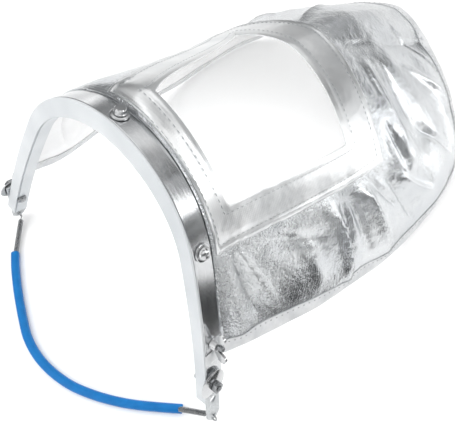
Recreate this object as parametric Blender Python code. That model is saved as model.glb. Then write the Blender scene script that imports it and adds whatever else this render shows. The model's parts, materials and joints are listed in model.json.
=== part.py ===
"""Aluminized face hood on its bracket, lying face up: rail, band, cloth, window and retaining spring."""

import math

import bmesh
import bpy
import numpy as np
from mathutils import Matrix, Vector

MM = 0.001

# Fit between neighbouring pieces
GAP = 0.3 * MM

# Bracket arch, measured in its own plane, which leans back over the hood
ARCH_HALF_WIDTH = 120 * MM
ARCH_RISE = 170 * MM
ARCH_FOOT_HEIGHT = 41 * MM
ARCH_LEAN = math.radians(17.5)
CROWN_TURN = math.radians(66)
LEG_SPLAY = math.radians(14.5)

# Rail: a front flange with an inner web behind it
FLANGE_THICKNESS = 1.6 * MM
FLANGE_DEPTH_AT_LEG = 9.3 * MM
FLANGE_DEPTH_AT_CROWN = 13.3 * MM
WEB_THICKNESS = 1.4 * MM
RAIL_WIDTH = 12 * MM

# Band: the outer hoop behind the flange
BAND_THICKNESS = 1.2 * MM
BAND_WIDTH = 14.2 * MM
BAND_END_ABOVE_FOOT = 11 * MM

# Cloth, window and binding
CLOTH_THICKNESS = 1.2 * MM
BORDER_THICKNESS = 1.0 * MM
WINDOW_THICKNESS = 1.0 * MM
BINDING_THICKNESS = 0.8 * MM
BINDING_WIDTH = 10 * MM
BINDING_CLEARANCE = 0.9 * MM
BINDING_ALONG = 0.955
BINDING_ACROSS = 0.945
HEM_TAB_START = 0.4 * MM
TUCK_DEPTH = 11 * MM
CLOTH_START_ALONG_LEG = 40 * MM

# Overall drape of the hood
HOOD_REACH = 408 * MM
HOOD_HALF_WIDTH = 144 * MM
HOOD_HEIGHT = 200 * MM
FLOOR_CLEARANCE = 2.9 * MM

# Window and border, as shares of the drape along its length and across it
WINDOW_ALONG = (0.170, 0.355)
WINDOW_ACROSS = (-0.15, 0.425)
BORDER_ALONG = (0.035, 0.468)
BORDER_ACROSS = (-0.285, 0.565)
FAR_EDGE_SHIFT_AT_BROW = 0.17
FAR_EDGE_SHIFT_AT_CHIN = -0.09
WINDOW_LAP = (0.010, 0.018)
OPENING_SLACK = (0.005, 0.008)
HEM_CORNER_START = 0.84
HEM_CORNER_CUT = 0.10
HEM_FLAT_ACROSS = 0.13
HEM_FLAT_ALONG = 0.06

# Hanger plates and their bolts
HANGER_WIDTH = 12.6 * MM
HANGER_THICKNESS = 1.5 * MM
HANGER_ABOVE_BOLT = 7 * MM
HANGER_TIP_CLEARANCE_RIGHT = 18 * MM
HANGER_TIP_CLEARANCE_LEFT = 3 * MM
HANGER_SWING_RIGHT = math.radians(1)
HANGER_SWING_LEFT = math.radians(12)
HANGER_HOLE_RADIUS = 2.1 * MM
HANGER_MID_HOLE_RADIUS = 2.9 * MM
HANGER_MID_HOLE_SHARE = 0.42

# Fasteners
SHANK_RADIUS = 1.8 * MM
HOLE_CLEARANCE = 0.3 * MM
WASHER_RADIUS = 5.9 * MM
WASHER_THICKNESS = 1.1 * MM
KNOB_RADIUS = 3.6 * MM
KNOB_HEIGHT = 3.6 * MM
DOME_RADIUS = 4.4 * MM
DOME_HEIGHT = 3.6 * MM
CUP_WASHER_RADIUS = 11.2 * MM
CUP_WASHER_RISE = 2.1 * MM
HEX_RADIUS = 4.4 * MM
HEX_HEIGHT = 3.6 * MM
BOLT_HEAD_RADIUS = 4.0 * MM
BOLT_HEAD_HEIGHT = 2.2 * MM
STUD_PROJECTION = 9.5 * MM
WING_BOSS_RADIUS = 3.9 * MM
WING_BOSS_HEIGHT = 4.6 * MM
WING_SPAN = 12.5 * MM
WING_THICKNESS = 1.8 * MM
WING_LOBE_RADIUS = 3.6 * MM

# Places of the fasteners, measured along the arch from its foot
LEG_BOLT_ALONG_LEG = 21.5 * MM
LEG_BOLT_BEHIND = 4.6 * MM
WING_NUT_ALONG_LEG = 56 * MM
DOME_SCREW_ALONG_LEG = 129 * MM

# Retaining spring and its sheath
SHEATH_RADIUS = 3.6 * MM
SPRING_RADIUS = 2.2 * MM
HOOK_WIRE_RADIUS = 0.55 * MM
HOOK_RADIUS = 3.1 * MM
HOOK_TURN = math.radians(315)
SPRING_SHOWN = 17 * MM
SPRING_MOUTH_GAP = 1.7 * MM

# Sheath route on the floor, chosen by hand, in millimetres from under the arch's middle
SHEATH_ROUTE_MM = (
    (103.0, 2.2),
    (86.0, -11.7),
    (73.0, -21.7),
    (59.0, -30.8),
    (43.8, -38.8),
    (28.5, -45.0),
    (13.2, -48.5),
    (-1.0, -49.8),
    (-15.0, -49.0),
    (-29.8, -45.6),
    (-43.8, -39.7),
    (-58.6, -32.6),
    (-72.5, -25.4),
    (-87.0, -17.0),
    (-100.5, -8.0),
)

# Drape of the cloth, a row for each section from the bracket to the chin hem:
# along (share of the drape), foot_run and crown_run (shares of the cloth's run beyond the bracket),
# half_width (share of the half width), foot_z and crown_z (shares of the height),
# roundness (exponent of the section's outline), arch (how much of the bracket's outline it keeps)
DRAPE_COLUMNS = ("along", "foot_run", "crown_run", "half_width", "foot_z", "crown_z", "roundness", "arch")
DRAPE_ROWS = (
    (0.00, 0.000, 0.000, 0.756, 0.350, 0.971, 1.40, 1.0),
    (0.15, 0.084, 0.036, 0.800, 0.265, 1.000, 1.38, 0.6),
    (0.35, 0.322, 0.443, 0.926, 0.140, 0.735, 1.60, 0.2),
    (0.60, 0.648, 0.666, 1.000, 0.000, 0.663, 1.45, 0.0),
    (0.80, 0.879, 0.843, 0.948, 0.000, 0.523, 1.47, 0.0),
    (1.00, 0.956, 1.000, 0.862, 0.000, 0.386, 1.41, 0.0),
)

# Folds and dents of the cloth, a row for each:
# start and end (along, across), width and height (shares of the reach; a negative height is a dent)
FOLD_COLUMNS = ("start_along", "start_across", "end_along", "end_across", "width", "height")
FOLD_ROWS = (
    (0.31, 0.60, 0.37, 0.98, 0.020, 0.012),
    (0.39, 0.60, 0.48, 0.95, 0.022, 0.014),
    (0.34, 0.62, 0.42, 0.96, 0.018, -0.010),
    (0.13, 0.60, 0.20, 0.96, 0.028, -0.012),
    (0.10, 0.56, 0.10, 0.98, 0.016, 0.008),
    (0.47, 0.10, 0.93, 0.24, 0.020, -0.012),
    (0.50, 0.28, 0.58, 0.62, 0.024, 0.010),
    (0.54, 0.24, 0.66, 0.60, 0.022, -0.010),
    (0.60, 0.60, 0.70, 0.90, 0.026, 0.012),
    (0.74, 0.30, 0.82, 0.74, 0.024, -0.010),
    (0.30, -0.62, 0.36, -0.97, 0.022, -0.012),
    (0.42, -0.60, 0.47, -0.95, 0.020, -0.010),
    (0.14, -0.60, 0.20, -0.95, 0.026, -0.010),
    (0.50, -0.20, 0.88, -0.30, 0.024, -0.010),
    (0.56, -0.45, 0.68, -0.88, 0.024, -0.012),
    (0.76, -0.35, 0.84, -0.80, 0.024, -0.006),
)

# Mesh fineness
CROWN_STEPS = 18
LEG_STEPS = 6
ROUND_SIDES = 16


def remove_everything():
    for thing in list(bpy.data.objects):
        bpy.data.objects.remove(thing, do_unlink=True)


def finish_material(name, colour, roughness, metallic, alpha=1.0):
    material = bpy.data.materials.new(name)
    material.use_nodes = True
    shader = material.node_tree.nodes["Principled BSDF"]
    shader.inputs["Base Color"].default_value = (*colour, 1.0)
    shader.inputs["Roughness"].default_value = roughness
    shader.inputs["Metallic"].default_value = metallic
    shader.inputs["Alpha"].default_value = alpha
    return material


def add_mesh(name, vertices, faces, material, smooth_angle=35):
    mesh = bpy.data.meshes.new(name)
    mesh.from_pydata([tuple(v) for v in vertices], [], faces)
    mesh.validate()
    mesh.shade_smooth()
    mesh.set_sharp_from_angle(angle=math.radians(smooth_angle))
    mesh.materials.append(material)
    piece = bpy.data.objects.new(name, mesh)
    bpy.context.collection.objects.link(piece)
    return piece


def point_faces_out(piece):
    shape = bmesh.new()
    shape.from_mesh(piece.data)
    bmesh.ops.recalc_face_normals(shape, faces=shape.faces)
    if shape.calc_volume(signed=True) < 0:
        bmesh.ops.reverse_faces(shape, faces=shape.faces)
    shape.to_mesh(piece.data)
    shape.free()
    return piece


# The arch outline: a crown arc that runs into slightly bowed legs


def arch_measures():
    """Crown radius and leg length that give the named half width and rise."""
    foot_turn = math.pi / 2 - LEG_SPLAY
    leg_heading = (CROWN_TURN + foot_turn) / 2
    grid = np.array(
        [
            [math.sin(CROWN_TURN), math.cos(leg_heading)],
            [1 - math.cos(CROWN_TURN), math.sin(leg_heading)],
        ]
    )
    crown_radius, leg_length = np.linalg.solve(grid, (ARCH_HALF_WIDTH, ARCH_RISE))
    return crown_radius, leg_length, foot_turn


CROWN_RADIUS, LEG_LENGTH, FOOT_TURN = arch_measures()
CROWN_HALF_LENGTH = CROWN_RADIUS * CROWN_TURN
ARCH_HALF_LENGTH = CROWN_HALF_LENGTH + LEG_LENGTH
ARCH_TOP = ARCH_FOOT_HEIGHT + ARCH_RISE


def arch_point(from_crown):
    """Point (x, height) and outward normal of the arch at a length from its crown, plus to the right."""
    side = 1.0 if from_crown >= 0 else -1.0
    length = abs(from_crown)
    if length <= CROWN_HALF_LENGTH:
        turn = length / CROWN_RADIUS
        x = CROWN_RADIUS * math.sin(turn)
        height = ARCH_TOP - CROWN_RADIUS * (1 - math.cos(turn))
    else:
        down_leg = length - CROWN_HALF_LENGTH
        turn_rate = (FOOT_TURN - CROWN_TURN) / LEG_LENGTH
        turn = CROWN_TURN + turn_rate * down_leg
        heading = (CROWN_TURN + turn) / 2
        x = CROWN_RADIUS * math.sin(CROWN_TURN) + down_leg * math.cos(heading)
        height = ARCH_TOP - CROWN_RADIUS * (1 - math.cos(CROWN_TURN)) - down_leg * math.sin(heading)
    return side * x, height, side * math.sin(turn), math.cos(turn)


def stand(x, height, behind):
    """World point from the leaning arch plane: across, up the plane, and behind it into the hood."""
    y = behind * math.cos(ARCH_LEAN) + height * math.sin(ARCH_LEAN)
    z = height * math.cos(ARCH_LEAN) - behind * math.sin(ARCH_LEAN)
    return Vector((x, y, z))


def arch_place(from_crown, outward, behind):
    x, height, normal_x, normal_up = arch_point(from_crown)
    return stand(x + outward * normal_x, height + outward * normal_up, behind)


def arch_stations(foot_trim=0.0):
    """Lengths from the crown, right foot to left foot, closer together on the crown."""
    end = ARCH_HALF_LENGTH - foot_trim
    leg = np.linspace(end, CROWN_HALF_LENGTH, LEG_STEPS + 1)[:-1]
    crown = np.linspace(CROWN_HALF_LENGTH, -CROWN_HALF_LENGTH, CROWN_STEPS + 1)
    return np.concatenate([leg, crown, -leg[::-1]])


def sweep_profile(name, rings, material, split=None):
    """Closed solid through equal rings of points, capped at both ends; split picks a quad's diagonal."""
    count = len(rings[0])
    vertices = [point for ring in rings for point in ring]
    faces = []
    for station in range(len(rings) - 1):
        base = station * count
        for corner in range(count):
            after = (corner + 1) % count
            a, b, c, d = base + corner, base + after, base + count + after, base + count + corner
            if split is None:
                faces.append((a, b, c, d))
            elif split(station, corner):
                faces += [(a, b, c), (a, c, d)]
            else:
                faces += [(a, b, d), (b, c, d)]
    faces.append(tuple(range(count)))
    last = (len(rings) - 1) * count
    faces.append(tuple(last + corner for corner in reversed(range(count))))
    return point_faces_out(add_mesh(name, vertices, faces, material))


def flange_depth(from_crown):
    upward = max(arch_point(from_crown)[3], 0.0) ** 1.5
    return FLANGE_DEPTH_AT_LEG + (FLANGE_DEPTH_AT_CROWN - FLANGE_DEPTH_AT_LEG) * upward


def build_rail(material):
    rings = []
    for place in arch_stations():
        depth = flange_depth(place)
        section = (
            (0.0, 0.0),
            (-depth, 0.0),
            (-depth, RAIL_WIDTH),
            (-depth + WEB_THICKNESS, RAIL_WIDTH),
            (-depth + WEB_THICKNESS, FLANGE_THICKNESS),
            (0.0, FLANGE_THICKNESS),
        )
        rings.append([arch_place(place, outward, behind) for outward, behind in section])
    return sweep_profile("rail", rings, material)


BAND_FRONT = FLANGE_THICKNESS + GAP
BAND_BACK = BAND_FRONT + BAND_WIDTH
BAND_MIDDLE = (BAND_FRONT + BAND_BACK) / 2


def build_band(material):
    rings = []
    for place in arch_stations(BAND_END_ABOVE_FOOT):
        section = (
            (0.0, BAND_FRONT),
            (-BAND_THICKNESS, BAND_FRONT),
            (-BAND_THICKNESS, BAND_BACK),
            (0.0, BAND_BACK),
        )
        rings.append([arch_place(place, outward, behind) for outward, behind in section])
    return sweep_profile("band", rings, material)


# The draped cloth


def smooth_through(stations, values, wanted):
    """Monotone cubic through a column of the drape table."""
    stations = np.asarray(stations, float)
    values = np.asarray(values, float)
    run = np.diff(stations)
    slope = np.diff(values) / run
    tangent = np.concatenate([[slope[0]], np.zeros(len(slope) - 1), [slope[-1]]])
    for index in range(1, len(slope)):
        before, after = slope[index - 1], slope[index]
        if before * after > 0:
            tangent[index] = 2 * before * after / (before + after)
    span = int(np.clip(np.searchsorted(stations, wanted, side="right") - 1, 0, len(run) - 1))
    t = (wanted - stations[span]) / run[span]
    start, end = values[span], values[span + 1]
    return (
        (2 * t**3 - 3 * t**2 + 1) * start
        + (t**3 - 2 * t**2 + t) * run[span] * tangent[span]
        + (3 * t**2 - 2 * t**3) * end
        + (t**3 - t**2) * run[span] * tangent[span + 1]
    )


def drape_row(along):
    stations = [row[0] for row in DRAPE_ROWS]
    values = {}
    for column, name in enumerate(DRAPE_COLUMNS[1:], start=1):
        values[name] = smooth_through(stations, [row[column] for row in DRAPE_ROWS], along)
    return values


def evened(x, z, wanted):
    """Points of an outline at even shares of its length, from -1 at the left foot to 1 at the right."""
    length = np.concatenate([[0.0], np.cumsum(np.hypot(np.diff(x), np.diff(z)))])
    share = 1 - 2 * length / length[-1]
    return np.interp(wanted, share[::-1], x[::-1]), np.interp(wanted, share[::-1], z[::-1])


CLOTH_TOP_LENGTH = ARCH_HALF_LENGTH - CLOTH_START_ALONG_LEG
HELD_FOOT_Y = arch_place(CLOTH_TOP_LENGTH, -BAND_THICKNESS - GAP, BAND_BACK + GAP)[1]
HELD_CROWN_Y = arch_place(0.0, -BAND_THICKNESS - GAP, BAND_BACK + GAP)[1]
OUTLINE_TURN = np.linspace(0.0, math.pi, 121)
ARCH_OUTLINE = np.array([arch_point(p)[:2] for p in np.linspace(CLOTH_TOP_LENGTH, -CLOTH_TOP_LENGTH, 121)])


def section_outline(roundness, arch_share, across):
    """Outline of one section in unit width and unit height."""
    cosine, sine = np.cos(OUTLINE_TURN), np.sin(OUTLINE_TURN)
    round_x = np.sign(cosine) * np.abs(cosine) ** (2 / roundness)
    round_z = np.abs(sine) ** (2 / roundness)
    free_x, free_z = evened(round_x, round_z, across)
    held_x, held_z = evened(ARCH_OUTLINE[:, 0], ARCH_OUTLINE[:, 1], across)
    foot_x, foot_z = ARCH_OUTLINE[0]
    held_x = held_x / foot_x
    held_z = (held_z - foot_z) / (ARCH_OUTLINE[:, 1].max() - foot_z)
    x = arch_share * held_x + (1 - arch_share) * free_x
    z = arch_share * held_z + (1 - arch_share) * free_z
    return x, z


def plain_drape(along, across):
    row = drape_row(along)
    x, z = section_outline(row["roundness"], row["arch"], across)
    height = HOOD_HEIGHT * (row["foot_z"] + (row["crown_z"] - row["foot_z"]) * z) + FLOOR_CLEARANCE
    run = HOOD_REACH - HELD_CROWN_Y
    foot_y = HELD_FOOT_Y + run * row["foot_run"]
    crown_y = HELD_CROWN_Y + run * row["crown_run"]
    wide = HOOD_HALF_WIDTH * row["half_width"] * x
    return np.stack([wide, foot_y + (crown_y - foot_y) * z, height], axis=-1)


def fold_height(along, across):
    """How far the folds lift the cloth at each place."""
    lift = np.zeros_like(across)
    for row in FOLD_ROWS:
        fold = dict(zip(FOLD_COLUMNS, row))
        run_along = fold["end_along"] - fold["start_along"]
        run_across = fold["end_across"] - fold["start_across"]
        share = (along - fold["start_along"]) * run_along + (across - fold["start_across"]) * run_across
        share = np.clip(share / (run_along**2 + run_across**2), 0, 1)
        away_along = along - fold["start_along"] - share * run_along
        away_across = across - fold["start_across"] - share * run_across
        spread = fold["width"] * 2.2
        away = np.hypot(away_along, away_across * 0.6) / spread
        swell = 0.35 + 0.65 * share
        lift += fold["height"] * HOOD_REACH * swell * np.exp(-(away**2))
    outside_along = np.clip((along - BORDER_ALONG[1]) / 0.05, 0, 1)
    outside_near = np.clip((across - BORDER_ACROSS[1]) / 0.08, 0, 1)
    outside_far = np.clip((BORDER_ACROSS[0] + far_edge_shift(along) - across) / 0.08, 0, 1)
    return lift * np.maximum(outside_along, np.maximum(outside_near, outside_far))


def far_edge_shift(along):
    """The window's far edge runs askew, nearer to the crown at the brow than at the chin."""
    share = np.clip((along - WINDOW_ALONG[0]) / (WINDOW_ALONG[1] - WINDOW_ALONG[0]), 0, 1)
    return FAR_EDGE_SHIFT_AT_BROW + (FAR_EDGE_SHIFT_AT_CHIN - FAR_EDGE_SHIFT_AT_BROW) * share


def columns_at(along, columns):
    """Shares across the cloth of the shared grid lines, which follow the window's far edge."""
    shift = far_edge_shift(along)
    fixed = (-1.0, BORDER_ACROSS[0], WINDOW_ACROSS[0], WINDOW_ACROSS[1], 1.0)
    moved = (-1.0, BORDER_ACROSS[0] + shift, WINDOW_ACROSS[0] + shift, WINDOW_ACROSS[1], 1.0)
    return np.interp(columns, fixed, moved)


def hem_reach(along):
    """Share of the half section that the cloth reaches at this row; it rounds off at the chin corners."""
    past = np.clip((along - HEM_CORNER_START) / (1 - HEM_CORNER_START), 0, 1)
    return 1 - HEM_CORNER_CUT * (1 - np.sqrt(1 - past**2))


def cloth_points(alongs, across_shares):
    """Grid of points and outward normals on the outer face of the cloth."""
    fine = 0.004
    points, ahead, behind, left, right = [], [], [], [], []
    for along in alongs:
        across = columns_at(along, across_shares) * hem_reach(along)
        points.append(drape_face(along, across))
        ahead.append(drape_face(min(along + fine, 1.0), across))
        behind.append(drape_face(max(along - fine, 0.0), across))
        left.append(drape_face(along, np.maximum(across - fine, -1.0)))
        right.append(drape_face(along, np.minimum(across + fine, 1.0)))
    normals = np.cross(np.array(right) - np.array(left), np.array(ahead) - np.array(behind))
    normals /= np.linalg.norm(normals, axis=-1, keepdims=True)
    return np.array(points), normals


def flat_normals(along, across):
    fine = 0.01
    ahead = plain_drape(min(along + fine, 1.0), across) - plain_drape(max(along - fine, 0.0), across)
    side = plain_drape(along, np.minimum(across + fine, 1.0)) - plain_drape(
        along, np.maximum(across - fine, -1.0)
    )
    normals = np.cross(side, ahead)
    return normals / np.linalg.norm(normals, axis=-1, keepdims=True)


def drape_face(along, across):
    flat_side = np.clip((1.0 - np.abs(across)) / HEM_FLAT_ACROSS, 0, 1)
    flat_chin = np.clip((1.0 - along) / HEM_FLAT_ALONG, 0, 1)
    lift = fold_height(along, across) * flat_side * flat_chin
    return plain_drape(along, across) + flat_normals(along, across) * lift[:, None]


def shell(name, outer, inner, cells, material):
    """Closed wall between two grids of points, over the cells that are kept."""
    rows, columns = outer.shape[:2]
    vertices = np.concatenate([outer.reshape(-1, 3), inner.reshape(-1, 3)])
    under = rows * columns
    faces = []

    def index(row, column):
        return row * columns + column

    def kept(row, column):
        return 0 <= row < rows - 1 and 0 <= column < columns - 1 and cells[row, column]

    for row in range(rows - 1):
        for column in range(columns - 1):
            if not cells[row, column]:
                continue
            a, b = index(row, column), index(row, column + 1)
            c, d = index(row + 1, column + 1), index(row + 1, column)
            faces += [(a, b, c), (a, c, d)]
            faces += [(under + c, under + b, under + a), (under + d, under + c, under + a)]
            if not kept(row - 1, column):
                faces.append((b, a, under + a, under + b))
            if not kept(row + 1, column):
                faces.append((d, c, under + c, under + d))
            if not kept(row, column - 1):
                faces.append((a, d, under + d, under + a))
            if not kept(row, column + 1):
                faces.append((c, b, under + b, under + c))
    used = sorted({corner for face in faces for corner in face})
    renumber = {old: new for new, old in enumerate(used)}
    faces = [tuple(renumber[corner] for corner in face) for face in faces]
    return point_faces_out(add_mesh(name, vertices[used], faces, material, smooth_angle=50))


def grid_lines(breaks, steps):
    """Grid lines that fall on each break, with a count of steps between breaks."""
    parts = [np.linspace(breaks[i], breaks[i + 1], steps[i] + 1)[:-1] for i in range(len(steps))]
    return np.concatenate(parts + [[breaks[-1]]])


def widened(span, by):
    return span[0] - by, span[1] + by


SHEET_ALONG = widened(WINDOW_ALONG, WINDOW_LAP[0])
SHEET_ACROSS = widened(WINDOW_ACROSS, WINDOW_LAP[1])
OPENING_ALONG = widened(SHEET_ALONG, OPENING_SLACK[0])
OPENING_ACROSS = widened(SHEET_ACROSS, OPENING_SLACK[1])

# Grid lines that the cloth, the border, the window and the binding all share
ALONG_BREAKS = (
    0.0,
    BORDER_ALONG[0],
    OPENING_ALONG[0],
    SHEET_ALONG[0],
    WINDOW_ALONG[0],
    WINDOW_ALONG[1],
    SHEET_ALONG[1],
    OPENING_ALONG[1],
    BORDER_ALONG[1],
    HEM_CORNER_START,
    BINDING_ALONG,
    1.0,
)
ALONG_STEPS = (1, 3, 1, 1, 4, 1, 1, 2, 8, 3, 1)
ACROSS_BREAKS = (
    -1.0,
    -BINDING_ACROSS,
    BORDER_ACROSS[0],
    OPENING_ACROSS[0],
    SHEET_ACROSS[0],
    WINDOW_ACROSS[0],
    WINDOW_ACROSS[1],
    SHEET_ACROSS[1],
    OPENING_ACROSS[1],
    BORDER_ACROSS[1],
    BINDING_ACROSS,
    1.0,
)
ACROSS_STEPS = (1, 9, 2, 1, 1, 10, 1, 1, 2, 6, 1)
ALONG_LINES = grid_lines(ALONG_BREAKS, ALONG_STEPS)
ACROSS_LINES = grid_lines(ACROSS_BREAKS, ACROSS_STEPS)


def part_of(lines, span):
    """Slice of the grid lines from one break to another."""
    first = int(np.argmin(np.abs(lines - span[0])))
    last = int(np.argmin(np.abs(lines - span[1])))
    return slice(first, last + 1)


def opened(along_range, across_range, hole_along=None, hole_across=None):
    """Marks the cells of a part of the grid, with a rectangle cut out."""
    alongs = ALONG_LINES[along_range]
    acrosses = ACROSS_LINES[across_range]
    middle_along = (alongs[:-1] + alongs[1:]) / 2
    middle_across = (acrosses[:-1] + acrosses[1:]) / 2
    if hole_along is None:
        return np.ones((len(middle_along), len(middle_across)), bool)
    inside_along = (middle_along > hole_along[0]) & (middle_along < hole_along[1])
    inside_across = (middle_across > hole_across[0]) & (middle_across < hole_across[1])
    return ~(inside_along[:, None] & inside_across[None, :])


def tucked_edge(outward, behind):
    """The cloth's front edge, held under the band."""
    columns = columns_at(0.0, ACROSS_LINES)
    return np.array([arch_place(share * CLOTH_TOP_LENGTH, outward, behind) for share in columns])


def cloth_grid():
    """Outer face and normals on all the shared grid lines, with the front line held behind the band."""
    points, normals = cloth_points(ALONG_LINES, ACROSS_LINES)
    points[0] = tucked_edge(-BAND_THICKNESS - GAP, BAND_BACK + GAP)
    columns = columns_at(0.0, ACROSS_LINES)
    outward = [arch_point(share * CLOTH_TOP_LENGTH)[2:] for share in columns]
    normals[0] = np.array([stand(x, up, 0.0) for x, up in outward])
    return points, normals


def build_hood_cloth(grid, material):
    points, normals = grid
    under_band = tucked_edge(-BAND_THICKNESS - GAP, BAND_BACK - TUCK_DEPTH)
    under_cloth = tucked_edge(-BAND_THICKNESS - GAP - CLOTH_THICKNESS, BAND_BACK - TUCK_DEPTH)
    outer = np.concatenate([under_band[None], points])
    inner = np.concatenate([under_cloth[None], points - normals * CLOTH_THICKNESS])
    everything = slice(0, len(ALONG_LINES)), slice(0, len(ACROSS_LINES))
    cells = opened(*everything, OPENING_ALONG, OPENING_ACROSS)
    cells = np.concatenate([np.ones((1, cells.shape[1]), bool), cells])
    return shell("hood_cloth", outer, inner, cells, material)


def build_window_border(grid, material):
    points, normals = grid
    rows, columns = part_of(ALONG_LINES, BORDER_ALONG), part_of(ACROSS_LINES, BORDER_ACROSS)
    face, out = points[rows, columns], normals[rows, columns]
    cells = opened(rows, columns, WINDOW_ALONG, WINDOW_ACROSS)
    low, high = face + out * GAP, face + out * (GAP + BORDER_THICKNESS)
    return shell("window_border", high, low, cells, material)


def build_window(grid, material):
    points, normals = grid
    rows, columns = part_of(ALONG_LINES, SHEET_ALONG), part_of(ACROSS_LINES, SHEET_ACROSS)
    face, out = points[rows, columns], normals[rows, columns]
    cells = opened(rows, columns)
    return shell("window_sheet", face, face - out * WINDOW_THICKNESS, cells, material)


def unit(vector):
    return vector / np.linalg.norm(vector)


def hem_stations(grid):
    """Edge point, inner point and both normals round the free edge: right side, chin, left side."""
    points, normals = grid
    last = len(ALONG_LINES) - 1
    edge = len(ACROSS_LINES) - 1

    def station(outer_spot, inner_spots):
        inner = np.mean([points[spot] for spot in inner_spots], axis=0)
        inner_out = unit(np.mean([normals[spot] for spot in inner_spots], axis=0))
        return points[outer_spot], inner, normals[outer_spot], inner_out

    right, left = [], []
    for row in range(1, last):
        near_corner = row == last - 1
        for stations, column, step in ((right, edge, -1), (left, 0, 1)):
            spots = [(row, column + step)]
            if near_corner:
                spots.append((row - 1, column + step))
            stations.append(station((row, column), spots))
    right.append(station((last, edge), [(last - 1, edge - 1)]))
    left.append(station((last, 0), [(last - 1, 1)]))
    chin = []
    for column in range(edge - 1, 0, -1):
        spots = [(last - 1, column)]
        if column == edge - 1:
            spots.append((last - 1, column - 1))
        if column == 1:
            spots.append((last - 1, column + 1))
        chin.append(station((last, column), spots))
    return right + chin + left[::-1]


def build_hem(grid, material):
    """Folded tape round the free edge: a long leaf outside, a shorter leaf inside."""
    rings = []
    lift = BINDING_CLEARANCE
    thick = BINDING_THICKNESS
    for tip, inner, tip_out, inner_out in hem_stations(grid):
        away = unit(tip - inner)
        short = inner + (tip - inner) * 0.25
        short_out = unit(inner_out + (tip_out - inner_out) * 0.25)
        below = CLOTH_THICKNESS + lift
        ring = (
            inner + inner_out * lift,
            inner + inner_out * (lift + thick),
            tip + tip_out * (lift + thick) + away * (lift + thick),
            tip - tip_out * (below + thick) + away * (lift + thick),
            short - short_out * (below + thick),
            short - short_out * below,
            tip - tip_out * below + away * lift,
            tip + tip_out * lift + away * lift,
        )
        rings.append([Vector(corner) for corner in ring])
    side_length = len(ALONG_LINES) - 1

    def split(station, corner):
        on_chin = side_length - 1 <= station < len(rings) - side_length
        return (corner < 2 or corner == 5) != on_chin

    return sweep_profile("hem_binding", rings, material, split)


def build_hem_tab(name, side, material):
    """End of the tape, laid over the band as far as the rail's front edge."""
    low, high = CLOTH_TOP_LENGTH - BINDING_WIDTH, CLOTH_TOP_LENGTH
    rings = []
    for place in np.linspace(side * low, side * high, 3):
        ring = (
            (GAP, HEM_TAB_START),
            (GAP, BAND_BACK),
            (GAP + BINDING_THICKNESS, BAND_BACK),
            (GAP + BINDING_THICKNESS, HEM_TAB_START),
        )
        rings.append([arch_place(place, outward, behind) for outward, behind in ring])
    return sweep_profile(name, rings, material)


# Fasteners, turned or shaped along an axis that stands on the band


def fastener_frame(from_crown, outward, behind=BAND_MIDDLE):
    """Axes on the band: local Z points out, local Y runs along the arch towards the foot."""
    x, height, normal_x, normal_up = arch_point(from_crown)
    origin = arch_place(from_crown, outward, behind)
    out = (stand(normal_x, normal_up, 0.0)).normalized()
    back = stand(0.0, 0.0, 1.0).normalized()
    down = out.cross(back).normalized()
    frame = Matrix.Identity(4)
    for row in range(3):
        frame[row][0] = back[row]
        frame[row][1] = down[row]
        frame[row][2] = out[row]
        frame[row][3] = origin[row]
    return frame


def turned(name, profile, material, frame, sides=ROUND_SIDES):
    """Solid of revolution through (radius, height) points that start and end on the axis."""
    rings = []
    vertices = [frame @ Vector((0, 0, profile[0][1]))]
    for radius, height in profile[1:-1]:
        ring = []
        for step in range(sides):
            angle = 2 * math.pi * step / sides
            ring.append(len(vertices))
            vertices.append(frame @ Vector((radius * math.cos(angle), radius * math.sin(angle), height)))
        rings.append(ring)
    vertices.append(frame @ Vector((0, 0, profile[-1][1])))
    faces = []
    for step in range(sides):
        after = (step + 1) % sides
        faces.append((0, rings[0][after], rings[0][step]))
        faces.append((len(vertices) - 1, rings[-1][step], rings[-1][after]))
        for lower, upper in zip(rings[:-1], rings[1:]):
            faces.append((lower[step], lower[after], upper[after], upper[step]))
    return point_faces_out(add_mesh(name, vertices, faces, material))


def ringed(name, profile, material, frame, sides=ROUND_SIDES):
    """Washer-like solid of revolution round a closed (radius, height) profile."""
    count = len(profile)
    vertices = []
    for step in range(sides):
        angle = 2 * math.pi * step / sides
        for radius, height in profile:
            vertices.append(frame @ Vector((radius * math.cos(angle), radius * math.sin(angle), height)))
    faces = []
    for step in range(sides):
        base, following = step * count, ((step + 1) % sides) * count
        for corner in range(count):
            after = (corner + 1) % count
            faces.append((base + corner, base + after, following + after, following + corner))
    return point_faces_out(add_mesh(name, vertices, faces, material))


def hex_ring(bore, radius, low, high):
    """Corner points of a hexagon nut with a round bore, as (inner, outer) pairs for 24 sides."""
    points = []
    for step in range(24):
        angle = 2 * math.pi * step / 24
        wedge = (angle % (math.pi / 3)) - math.pi / 6
        outer = radius * math.cos(math.pi / 6) / math.cos(wedge)
        points.append((angle, bore, outer, low, high))
    return points


def build_hex_nut(name, material, frame, base):
    vertices, faces = [], []
    rim = hex_ring(SHANK_RADIUS + HOLE_CLEARANCE, HEX_RADIUS, base, base + HEX_HEIGHT)
    for angle, bore, outer, low, high in rim:
        for radius, height in ((bore, low), (outer, low), (outer, high), (bore, high)):
            vertices.append(frame @ Vector((radius * math.cos(angle), radius * math.sin(angle), height)))
    for step in range(len(rim)):
        here, following = step * 4, ((step + 1) % len(rim)) * 4
        for corner in range(4):
            after = (corner + 1) % 4
            faces.append((here + corner, here + after, following + after, following + corner))
    return point_faces_out(add_mesh(name, vertices, faces, material, smooth_angle=25))


def cutter(name, frame, radius, low, high):
    """Round cutter along a fastener's axis."""
    profile = ((0, low), (radius, low), (radius, high), (0, high))
    piece = turned(name, profile, bpy.data.materials["hole_edge"], frame, sides=16)
    piece.hide_render = True
    piece.display_type = "WIRE"
    return piece


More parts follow.
